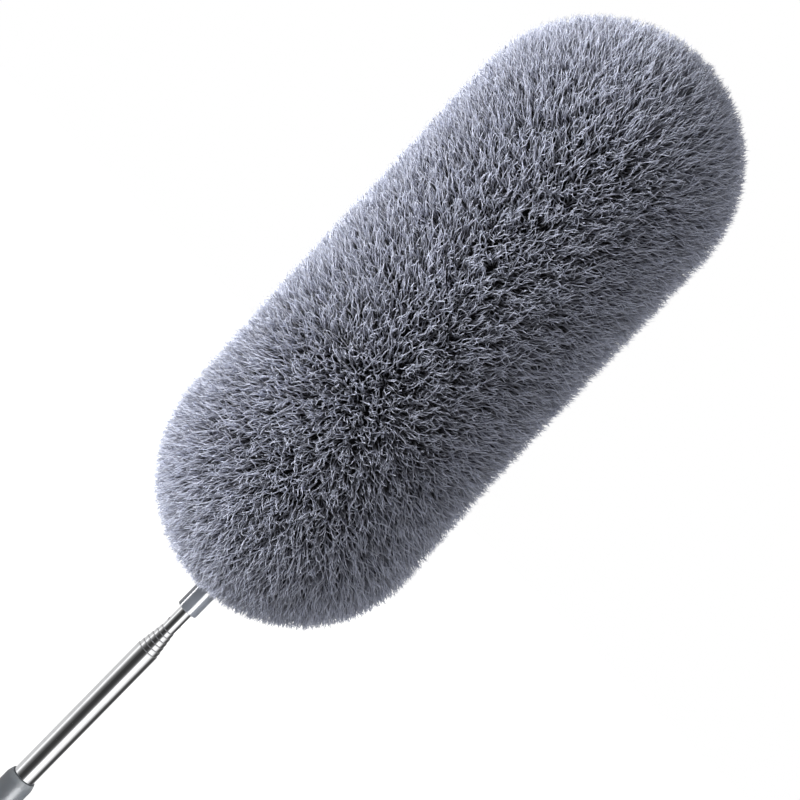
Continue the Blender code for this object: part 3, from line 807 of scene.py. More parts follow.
@dataclass
class Grip:
    """The satin sleeve in the hand, and the cap with its hanging tab."""

    palette: Palette
    turning: Turning
    mouth: float = 62.6 * MM
    end: float = -62.6 * MM
    bore: float = 7.95 * MM
    rim: float = 9.0 * MM
    body: float = 10.3 * MM
    swell: float = 0.8 * MM
    dish: float = 0.9 * MM
    shoulder: float = 4.5 * MM
    fullness: float = 0.3
    dome: float = 9.0 * MM
    narrowed: float = 0.68
    spigot: float = 2.9 * MM
    seat_gap: float = 0.3 * MM
    push_fit: float = 0.05 * MM
    hole: float = -77.65 * MM
    hole_radius: float = 4.0 * MM
    tab_radius: float = 7.5 * MM
    tab_thickness: float = 6.0 * MM
    edge_width: float = 0.45 * MM

    def build(self) -> None:
        """Makes the sleeve and the cap."""
        self.build_sleeve()
        self.build_cap()

    def build_sleeve(self) -> None:
        """The sleeve: a dished mouth, a rounded shoulder and a slight swell."""
        low = self.mouth - self.shoulder
        corners = [
            (self.bore, self.mouth - self.dish, 0.1 * MM),
            (self.bore + 0.5 * MM, self.mouth, 0.15 * MM),
            (self.rim, self.mouth, 0.35 * MM),
        ]
        for share in shares(12):
            risen = (1 + self.fullness) * share - self.fullness * share**2
            across = self.rim + (self.body - self.rim) * risen
            corners.append((across, self.mouth - self.shoulder * share, 0.0))
        for share in shares(24):
            across = self.body + self.swell * math.sin(math.pi * share) ** 2
            corners.append((across, low + (self.end - low) * share, 0.3 * MM if share == 1 else 0.0))
        corners.append((self.bore, self.end, 0.1 * MM))
        satin = self.palette.made["satin_grip"]
        self.turning.seated("grip_sleeve_satin", corners, satin, ("handle", "grip_sleeve", "grip_grey"))

    def build_cap(self) -> None:
        """The cap: a spigot in the sleeve, a dome, and a flat tab with a hole."""
        top, low = self.end - self.seat_gap, self.end - self.seat_gap - self.dome
        spigot, inside = self.bore - self.push_fit, self.end + self.spigot
        corners = [(0.0, inside, 0.0), (spigot, inside, 0.3 * MM), (spigot, top, 0.05 * MM)]
        corners.append((self.body, top, 0.3 * MM))
        narrow = self.body * self.narrowed
        for share in shares(16):
            angle = math.pi / 2 * share
            across = narrow + (self.body - narrow) * math.cos(angle)
            corners.append((across, top - self.dome * math.sin(angle), 0.5 * MM if share == 1 else 0.0))
        corners.append((0.0, low, 0.0))
        cap = self.turning.piece(
            "grip_cap_satin", filleted(corners, closed=False), self.palette.made["satin_cap"], closed=False
        )
        tab = self.tab(low + self.dome * 0.5)
        drill = across_bar("drill", self.hole_radius, 4 * self.tab_thickness, 0.0, 64)
        drill.data.transform(Matrix.Translation((0.0, 0.0, self.hole)) @ Matrix.Rotation(math.pi / 2, 4, "Z"))
        add_cut(cap, "UNION", tab)
        add_cut(cap, "DIFFERENCE", drill)
        edge = cap.modifiers.new("edge", "BEVEL")
        edge.width = self.edge_width
        edge.segments = 3
        edge.angle_limit = math.radians(50)
        cap = finished_mesh(cap, "grip_cap_satin")
        for other in (tab, drill):
            bpy.data.objects.remove(other)
        cap.data.shade_smooth()
        cap.data.set_sharp_from_angle(angle=self.turning.sharp_angle)
        seat(cap, "handle", ["hanging_cap"], "cap_grey")

    def tab(self, top: float) -> bpy.types.Object:
        """The flat tab: straight sides and a half round end."""
        outline = [(self.tab_radius, top)]
        for i in range(33):
            angle = -math.pi * i / 32
            outline.append((self.tab_radius * math.cos(angle), self.hole + self.tab_radius * math.sin(angle)))
        outline.append((-self.tab_radius, top))
        shape = bmesh.new()
        face = shape.faces.new([shape.verts.new((x, -self.tab_thickness / 2, z)) for x, z in outline])
        raised = bmesh.ops.extrude_face_region(shape, geom=[face])
        moved = [v for v in raised["geom"] if isinstance(v, bmesh.types.BMVert)]
        bmesh.ops.translate(shape, verts=moved, vec=(0.0, self.tab_thickness, 0.0))
        bmesh.ops.recalc_face_normals(shape, faces=shape.faces)
        return link_object("tab", mesh_from(shape, "tab"))


@dataclass
class Connector:
    """The glossy sleeve that pushes onto the pole, its bush, and the ferrule in its top."""

    palette: Palette
    turning: Turning
    low: float = 213.5 * MM
    high: float = 273.5 * MM
    radius: float = 7.5 * MM
    bore: float = 6.05 * MM
    depth: float = 39.0 * MM
    floor: float = 3.0 * MM
    bush_bore: float = 4.8 * MM
    bush_recess: float = 0.8 * MM
    bush_reach: float = 38.7 * MM
    push_fit: float = 0.05 * MM
    ferrule_radius: float = 3.95 * MM
    ferrule_bore: float = 2.55 * MM
    ferrule_sunk: float = 17.7 * MM
    ferrule_floor: float = 2.5 * MM
    neck: float = 278.5 * MM

    def build(self) -> None:
        """Makes the sleeve, the bush and the ferrule."""
        socket = self.ferrule_radius + self.push_fit
        base = self.low + self.depth + self.floor
        corners = [
            (0.0, base, 0.0),
            (socket, base, 0.05 * MM),
            (socket, self.high, 0.2 * MM),
            (self.radius, self.high, 0.7 * MM),
            (self.radius, self.low, 1.3 * MM),
            (self.bore, self.low, 0.15 * MM),
            (self.bore, self.low + self.depth, 0.1 * MM),
            (0.0, self.low + self.depth, 0.0),
        ]
        glossy = self.palette.made["glossy_connector"]
        place = ("head", "connector_sleeve", "connector_grey")
        self.turning.seated("head_connector_glossy", corners, glossy, place, closed=False, steps=8)
        bush_low, bush_high = self.low + self.bush_recess, self.low + self.bush_reach
        bush_radius = self.bore - self.push_fit
        corners = [
            (self.bush_bore, bush_low, 0.3 * MM),
            (self.bush_bore, bush_high, 0.2 * MM),
            (bush_radius, bush_high, 0.2 * MM),
            (bush_radius, bush_low, 0.2 * MM),
        ]
        black = self.palette.made["black_plastic"]
        self.turning.seated("head_connector_bush", corners, black, ("head", "connector_bush", "bush_black"))
        foot = self.high - self.ferrule_sunk
        corners = [
            (0.0, foot + self.ferrule_floor, 0.0),
            (self.ferrule_bore, foot + self.ferrule_floor, 0.0),
            (self.ferrule_bore, self.neck, 0.2 * MM),
            (self.ferrule_radius, self.neck, 0.4 * MM),
            (self.ferrule_radius, foot, 0.4 * MM),
            (0.0, foot, 0.0),
        ]
        steel = self.palette.made["bright_steel"]
        self.turning.seated("head_ferrule", corners, steel, ("head", "ferrule", "pin_steel"), closed=False)


@dataclass
class FibreHead:
    """The bendable head: the fibres, and the near-black backing that they stand on, whose colour is painted
    shade of the pile's depths.
    """

    palette: Palette
    neck: float = 278.5 * MM
    lean: float = math.radians(1.6)
    offset: float = 2.4 * MM
    start: float = 234.6 * MM
    length: float = 450.0 * MM
    end_radius: float = 90.0 * MM
    tip_radius: float = 93.0 * MM
    backing_radius: float = 70.0 * MM
    bow: float = 4.0 * MM
    wave: float = 1.6 * MM
    wave_scale: float = 9.0
    zone_ends: tuple[float, ...] = (0.0, 157.5 * MM, 292.5 * MM, 450.0 * MM)
    blends: tuple[Point2, ...] = (
        (20.0 * MM, 157.5 * MM), (157.5 * MM, 292.5 * MM), (292.5 * MM, 430.0 * MM),
    )
    sectors: tuple[int, ...] = (4, 3, 4)
    solids: tuple[tuple[str, ...], ...] = (("pile_1",), ("pile_2", "pile_3"), ("pile_4",))
    skin_rows: int = 48
    skin_columns: int = 120
    backing_rows: int = 40
    backing_columns: int = 96
    first_seed: int = 11
    density: float = 350000.0
    strand_length: float = 19.0 * MM
    strand_radius: float = 0.33 * MM

    def direction(self) -> Vector:
        """The head's axis, away from the handle."""
        return Vector((-math.sin(self.lean), 0.0, math.cos(self.lean)))

    def sideways(self) -> Vector:
        """Square to the head's axis, towards the side that it leans to."""
        return Vector((-math.cos(self.lean), 0.0, -math.sin(self.lean)))

    def on_axis(self, along: float) -> Vector:
        """A point on the pile's own axis, by its length from the head's start."""
        station = self.start + along - self.neck
        base = Vector((0.0, 0.0, self.neck))
        return base + self.direction() * station + self.sideways() * self.offset

    def straight(self, along: float) -> float:
        """The nearest length along the head that lies in its straight middle."""
        return min(max(along, self.end_radius), self.length - self.end_radius)

    def surface_point(self, share: float, turn: float, radius: float) -> Vector:
        """A point of a capsule round the head's axis.

        Args:
            share: Length along the head from its start, in metres.
            turn: Angle round the axis.
            radius: The capsule's radius.

        Returns:
            The point, with the head's slight bow and uneven outline.
        """
        full = self.end_radius
        middle = self.straight(share)
        rise = (share - middle) / full
        spread = math.sqrt(max(0.0, 1 - rise * rise))
        side, front = self.sideways(), Vector(Axis.FRONT.value)
        out = (side * math.cos(turn) + front * math.sin(turn)) * spread + self.direction() * rise
        uneven = noise.noise((self.on_axis(middle) + out * full) * self.wave_scale) * self.wave
        bow = self.sideways() * self.bow * math.sin(math.pi * share / self.length)
        return self.on_axis(middle) + out * (radius + uneven) + bow

    def row_station(self, zone: int, span: Point2, i: int, rows: int) -> float:
        """Where a row of a zone lies along the head.

        Args:
            zone: The zone's number, from 0 at the handle.
            span: Where its first and last row lie.
            i: The row's number.
            rows: How many steps there are from the first row to the last.

        Returns:
            The row's length along the head. Rows crowd towards a round end.
        """
        low, high = span
        if zone == 0:
            return low + (high - low) * (1 - math.cos(math.pi / 2 * i / rows))
        if zone == len(self.sectors) - 1:
            return low + (high - low) * math.sin(math.pi / 2 * i / rows)
        return low + (high - low) * i / rows

    def patch(self, name: str, zone: int, sector: int) -> bpy.types.Object:
        """The part of the capsule's skin that one piece of the pile grows from."""
        low, high = self.zone_ends[zone], self.zone_ends[zone + 1]
        count = self.sectors[zone]
        rows, columns = self.skin_rows, self.skin_columns // count
        first = 2 * math.pi * sector / count
        shape = bmesh.new()
        grid = []
        for i in range(rows + 1):
            along = self.row_station(zone, (low, high), i, rows)
            turns = (first + 2 * math.pi / count * k / columns for k in range(columns + 1))
            grid.append([shape.verts.new(self.surface_point(along, a, self.tip_radius)) for a in turns])
        for low_row, high_row in zip(grid, grid[1:]):
            for k in range(columns):
                shape.faces.new((low_row[k], high_row[k], high_row[k + 1], low_row[k + 1]))
        bmesh.ops.remove_doubles(shape, verts=shape.verts, dist=1e-6)
        bmesh.ops.recalc_face_normals(shape, faces=shape.faces)
        centre = self.on_axis((low + high) / 2)
        face = next(iter(shape.faces))
        if (face.calc_center_median() - centre).dot(face.normal) < 0:
            bmesh.ops.reverse_faces(shape, faces=shape.faces)
        mesh = mesh_from(shape, name)
        mesh.shade_smooth()
        return link_object(name, mesh)

    def build(self) -> None:
        """Makes every part of the pile, and the backing under it."""
        tree = PileTree(self.direction(), self.on_axis(0.0)).build()
        for zone in range(len(self.sectors)):
            for sector in range(self.sectors[zone]):
                self.build_pile(tree, zone, sector)
        self.build_backing()

    def bend_with(self, piece: bpy.types.Object) -> None:
        """Bakes a piece's placement into its mesh."""
        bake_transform(piece)

    def build_pile(self, tree: bpy.types.NodeTree, zone: int, sector: int) -> None:
        """Grows the fibres of one sector of a zone."""
        name = f"pile_{'abc'[zone]}{sector + 1}"
        skin = self.patch(name, zone, sector)
        grow = skin.modifiers.new("Fibres", "NODES")
        grow.node_group = tree
        values = {
            "Density": self.density,
            "Strand length": self.strand_length,
            "Strand radius": self.strand_radius,
            "Seed": self.first_seed + 10 * zone + sector,
            "Fibre": self.palette.made["fibre"],
        }
        for item in tree.interface.items_tree:
            if item.item_type == "SOCKET" and item.in_out == "INPUT" and item.name in values:
                grow[item.identifier] = values[item.name]
        piece = finished_mesh(skin, name)
        for helper in StrandMap:
            if helper is not StrandMap.LAYER and helper.value in piece.data.attributes:
                piece.data.attributes.remove(piece.data.attributes[helper.value])
        self.bend_with(piece)
        nodes = self.solids[zone]
        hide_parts(*nodes)
        bpy.data.collections["fibres"].objects.link(piece)
        LOG.info("%s bends with zone %d, %d faces", name, zone + 1, len(piece.data.polygons))

    def build_backing(self) -> None:
        """The backing that the fibres stand on, in three parts. It fills the pile's depths, and its
        near-black colour is painted shade of them.
        """
        full, inner = self.end_radius, self.backing_radius
        for zone in range(len(self.sectors)):
            low = max(self.zone_ends[zone], full - inner)
            high = min(self.zone_ends[zone + 1], self.length - full + inner)
            rows, columns = self.backing_rows, self.backing_columns
            shape = bmesh.new()
            rings = []
            for i in range(rows + 1):
                along = self.row_station(zone, (low, high), i, rows)
                middle = self.straight(along)
                share = middle + (along - middle) / inner * full
                turns = (2 * math.pi * k / columns for k in range(columns))
                rings.append([shape.verts.new(self.surface_point(share, a, inner)) for a in turns])
            for low_ring, high_ring in zip(rings, rings[1:]):
                for k in range(columns):
                    n = (k + 1) % columns
                    shape.faces.new((low_ring[k], low_ring[n], high_ring[n], high_ring[k]))
            bmesh.ops.remove_doubles(shape, verts=shape.verts, dist=1e-5)
            bmesh.ops.holes_fill(shape, edges=[e for e in shape.edges if e.is_boundary])
            bmesh.ops.recalc_face_normals(shape, faces=shape.faces)
            name = f"backing_{'abc'[zone]}"
            mesh = mesh_from(shape, name)
            mesh.shade_smooth()
            piece = link_object(name, mesh, self.palette.made["backing"])
            self.bend_with(piece)
            LOG.info("%s, %d faces", name, len(mesh.polygons))


@dataclass
class PileTree:
    """The geometry nodes that grow the pile: points on a skin, a strand on each, then its bends."""

    axis: Vector
    start: Vector
    wisp_size: float = 2.6 * MM
    wisp_pull: float = 0.3
    wisp_stray: float = 1.0 * MM
    wisp_lean: float = 3.0 * MM
    lean: float = 2.5 * MM
    lean_size: float = 9.0 * MM
    own_lean: float = 6.0 * MM
    crinkle: float = 3.7 * MM
    crinkle_size: float = 3.0 * MM
    tip_stray: float = 0.8 * MM
    undercoat: float = 5.0 * MM
    comb_down: float = -3.5 * MM
    comb_up: float = 4.5 * MM
    parting: Point2 = (125.0 * MM, 190.0 * MM)
    pale_from: float = 0.48
    curl: float = 2.4
    spin_turns: float = 40.0
    thinnest: float = 0.75
    thickening: float = 0.5
    tone_scale: float = 130.0
    tone_drift: float = 0.4
    tone_shared: float = 0.2
    undercoat_tones: Point2 = (0.34, 0.54)
    edge_turn: float = math.radians(20)
    taper: float = 8.0
    crinkle_run: float = 11.0 * MM
    map_size: Point2 = (0.96, 0.955)
    map_margin: float = 0.02
    map_edge: float = 0.012

    def build(self) -> bpy.types.NodeTree:
        """Builds the tree with its named inputs."""
        tree = bpy.data.node_groups.new("Growing pile", "GeometryNodeTree")
        tree.is_modifier = True
        for label, kind in (
            ("Geometry", "Geometry"),
            ("Density", "Float"),
            ("Strand length", "Float"),
            ("Strand radius", "Float"),
            ("Seed", "Int"),
            ("Fibre", "Material"),
        ):
            tree.interface.new_socket(label, in_out="INPUT", socket_type=f"NodeSocket{kind}")
        tree.interface.new_socket("Geometry", in_out="OUTPUT", socket_type="NodeSocketGeometry")
        wiring = Wiring(tree)
        given = tree.nodes.new("NodeGroupInput").outputs
        rooted, upright = self.points(wiring, given)
        tone = self.read(wiring, StrandMap.TONE)
        spin = wiring.add(
            "FunctionNodeAxisAngleToRotation",
            {"Axis": Axis.UP.value, "Angle": wiring.math("MULTIPLY", tone, self.spin_turns)},
        )
        turned = wiring.add(
            "FunctionNodeRotateRotation",
            {"Rotation": upright, "Rotate By": spin.outputs[0]},
            rotation_space="LOCAL",
        )
        share = wiring.math("MULTIPLY_ADD", tone, self.thickening, self.thinnest)
        thick = wiring.math("MULTIPLY", given["Strand radius"], share)
        size = wiring.combine(thick, thick, given["Strand length"])
        pale = wiring.math("GREATER_THAN", tone, self.pale_from)
        both = wiring.add("GeometryNodeJoinGeometry")
        for chosen, segments, spacing in ((pale, 5, 0.5), (wiring.math("SUBTRACT", 1.0, pale), 2, 0.6)):
            placed = wiring.add(
                "GeometryNodeInstanceOnPoints",
                {
                    "Points": rooted,
                    "Selection": chosen,
                    "Instance": self.strand(wiring, segments, spacing),
                    "Rotation": turned.outputs[0],
                    "Scale": size,
                },
            )
            tree.links.new(placed.outputs[0], both.inputs[0])
        real = wiring.add("GeometryNodeRealizeInstances", {"Geometry": both.outputs[0]})
        bent = wiring.add(
            "GeometryNodeSetPosition", {"Geometry": real.outputs[0], "Offset": self.bends(wiring)}
        )
        mapped = self.mapped(wiring, bent.outputs[0])
        painted = wiring.add("GeometryNodeSetMaterial", {"Geometry": mapped, "Material": given["Fibre"]})
        result = tree.nodes.new("NodeGroupOutput")
        tree.links.new(painted.outputs[0], result.inputs[0])
        return tree

    @staticmethod
    def read(wiring: Wiring, name: StrandMap) -> bpy.types.NodeSocket:
        """Reads one of the strand's own attributes."""
        kind = "FLOAT" if name in (StrandMap.TONE, StrandMap.ALONG) else "FLOAT_VECTOR"
        node = wiring.add("GeometryNodeInputNamedAttribute", {"Name": name.value}, data_type=kind)
        return wiring.out(node, "Attribute")

    @staticmethod
    def store(
        wiring: Wiring, geometry: bpy.types.NodeSocket, name: StrandMap, value: bpy.types.NodeSocket,
        kind: str = "FLOAT_VECTOR", domain: str = "POINT",
    ) -> bpy.types.NodeSocket:
        """Stores one of the strand's own attributes."""
        node = wiring.add(
            "GeometryNodeStoreNamedAttribute",
            {"Geometry": geometry, "Name": name.value, "Value": value},
            data_type=kind, domain=domain,
        )
        return node.outputs[0]

    def points(self, wiring: Wiring, given: object) -> tuple[bpy.types.NodeSocket, bpy.types.NodeSocket]:
        """Spreads the points, and stores where each strand stands and how it strays.

        Args:
            wiring: The tree's wiring.
            given: The outputs of the tree's input node.

        Returns:
            The points, sunk to the strands' roots, and their rotations.
        """
        spread = wiring.add(
            "GeometryNodeDistributePointsOnFaces",
            {"Mesh": given["Geometry"], "Density": given["Density"], "Seed": given["Seed"]},
        )
        place = wiring.add("GeometryNodeInputPosition").outputs[0]
        cloud = self.store(wiring, spread.outputs["Points"], StrandMap.HOME, place)
        cloud = self.store(wiring, cloud, StrandMap.OUTWARD, spread.outputs["Normal"])
        drift = wiring.random((-1.0, -1.0, -1.0), (1.0, 1.0, 1.0), given["Seed"], "FLOAT_VECTOR")
        cloud = self.store(wiring, cloud, StrandMap.DRIFT, drift)
        tone = wiring.random(0.0, 1.0, wiring.math("ADD", given["Seed"], 100.0))
        broad = wiring.noise(place, self.tone_scale)
        wisp = wiring.add("ShaderNodeTexVoronoi", {"Vector": place, "Scale": 1 / self.wisp_size})
        chance = wiring.split(wisp.outputs["Color"])
        drifted = wiring.math("MULTIPLY_ADD", broad.outputs["Fac"], self.tone_drift, -self.tone_drift / 2)
        mixed = wiring.math("MULTIPLY_ADD", tone, 1 - self.tone_shared, drifted)
        mixed = wiring.math("MULTIPLY_ADD", chance["Z"], self.tone_shared, mixed)
        clamped = wiring.math("MINIMUM", wiring.math("MAXIMUM", mixed, 0.0), 1.0)
        cloud = self.store(wiring, cloud, StrandMap.TONE, clamped, "FLOAT")
        stray = wiring.random(-self.tip_stray, self.tip_stray, wiring.math("ADD", given["Seed"], 200.0))
        bright = wiring.remap(clamped, self.undercoat_tones)
        deeper = wiring.math("MULTIPLY_ADD", bright, self.undercoat, -self.undercoat)
        shared = wiring.math("MULTIPLY_ADD", chance["Y"], 2 * self.wisp_stray, -self.wisp_stray)
        depth = wiring.math("ADD", wiring.math("SUBTRACT", stray, given["Strand length"]), deeper)
        depth = wiring.math("ADD", depth, shared)
        inwards = wiring.vector("SCALE", self.read(wiring, StrandMap.OUTWARD), depth)
        sunk = wiring.add("GeometryNodeSetPosition", {"Geometry": cloud, "Offset": inwards})
        return sunk.outputs[0], spread.outputs["Rotation"]

    def strand(self, wiring: Wiring, segments: int, spacing: float) -> bpy.types.NodeSocket:
        """One closed three-sided strand of length and radius 1, with its own attributes.

        Args:
            wiring: The tree's wiring.
            segments: How many segments it has from root to tip.
            spacing: Power that moves its rings towards the tip; 1 spaces them evenly.

        Returns:
            The strand's mesh.
        """
        cone = wiring.add(
            "GeometryNodeMeshCone",
            {"Vertices": 3, "Side Segments": segments, "Radius Top": 0.0, "Radius Bottom": 1.0, "Depth": 1.0},
        )
        place = wiring.add("GeometryNodeInputPosition").outputs[0]
        parts = wiring.split(place)
        height = wiring.math("POWER", wiring.math("MAXIMUM", parts["Z"], 0.0), spacing)
        way = wiring.vector("NORMALIZE", wiring.combine(parts["X"], parts["Y"]))
        edge = wiring.add(
            "ShaderNodeVectorRotate", {"Vector": way, "Angle": self.edge_turn}, rotation_type="Z_AXIS"
        )
        shape = self.store(wiring, cone.outputs["Mesh"], StrandMap.EDGE, edge.outputs[0])
        shape = self.store(wiring, shape, StrandMap.ALONG, height, "FLOAT")
        along = self.read(wiring, StrandMap.ALONG)
        taper = wiring.math("SUBTRACT", 1.0, wiring.math("POWER", along, self.taper))
        rim = wiring.vector("SCALE", way, taper)
        upright = wiring.vector("SCALE", Axis.UP.value, along)
        shaped = wiring.add(
            "GeometryNodeSetPosition", {"Geometry": shape, "Position": wiring.vector("ADD", rim, upright)}
        )
        smooth = wiring.add("GeometryNodeSetShadeSmooth", {"Geometry": shaped.outputs[0]})
        return smooth.outputs[0]

    def along_skin(self, wiring: Wiring, move: bpy.types.NodeSocket) -> bpy.types.NodeSocket:
        """The part of a move that lies along the skin."""
        outward = self.read(wiring, StrandMap.OUTWARD)
        return wiring.vector("SUBTRACT", move, wiring.vector("PROJECT", move, outward))

    def bends(self, wiring: Wiring) -> bpy.types.NodeSocket:
        """How far each point of a strand moves: shared lean, own lean, clumping and crinkle."""
        home, along = self.read(wiring, StrandMap.HOME), self.read(wiring, StrandMap.ALONG)
        broad = wiring.noise(home, 1 / self.lean_size)
        shared = wiring.vector("SUBTRACT", broad.outputs["Color"], (0.5, 0.5, 0.5))
        shared = wiring.vector("SCALE", shared, 2 * self.lean)
        own = wiring.vector("SCALE", self.read(wiring, StrandMap.DRIFT), self.own_lean)
        wisp = wiring.add("ShaderNodeTexVoronoi", {"Vector": home, "Scale": 1 / self.wisp_size})
        middle = wisp.outputs["Position"]
        pull = wiring.vector("SUBTRACT", middle, home)
        pull = wiring.vector("SCALE", pull, self.wisp_pull)
        away = wiring.vector("SUBTRACT", wisp.outputs["Color"], (0.5, 0.5, 0.5))
        away = wiring.vector("SCALE", away, 2 * self.wisp_lean)
        raised = wiring.vector("SUBTRACT", home, tuple(self.start))
        height = wiring.vector("DOT_PRODUCT", raised, tuple(self.axis))
        lengths = (self.comb_down, self.comb_up)
        comb = wiring.remap(height, self.parting, lengths, interpolation_type="SMOOTHSTEP")
        combed = wiring.vector("SCALE", tuple(self.axis), comb)
        total = wiring.vector("ADD", wiring.vector("ADD", shared, combed), wiring.vector("ADD", own, away))
        curve = wiring.math("POWER", along, self.curl)
        leaning = wiring.vector("SCALE", self.along_skin(wiring, total), curve)
        gathered = wiring.vector("SCALE", self.along_skin(wiring, pull), along)
        shifted = wiring.vector("SCALE", Axis.UP.value, wiring.math("MULTIPLY", along, self.crinkle_run))
        shifted = wiring.vector("ADD", self.read(wiring, StrandMap.DRIFT), shifted)
        fine = wiring.noise(shifted, 1 / self.crinkle_size)
        wavy = wiring.vector("SUBTRACT", fine.outputs["Color"], (0.5, 0.5, 0.5))
        wavy = wiring.vector("SCALE", wavy, wiring.math("MULTIPLY", along, 2 * self.crinkle))
        return wiring.vector("ADD", wiring.vector("ADD", leaning, gathered), wavy)

    def mapped(self, wiring: Wiring, geometry: bpy.types.NodeSocket) -> bpy.types.NodeSocket:
        """Stores the strand's map: its tone across, root to tip along."""
        wide, tall = (
            wiring.math("MULTIPLY_ADD", self.read(wiring, name), size, self.map_margin)
            for name, size in zip((StrandMap.TONE, StrandMap.ALONG), self.map_size)
        )
        base = wiring.combine(wide, tall)
        edge = wiring.vector("SCALE", self.read(wiring, StrandMap.EDGE), self.map_edge)
        place = wiring.vector("ADD", base, edge)
        return self.store(wiring, geometry, StrandMap.LAYER, place, "FLOAT2", "CORNER")


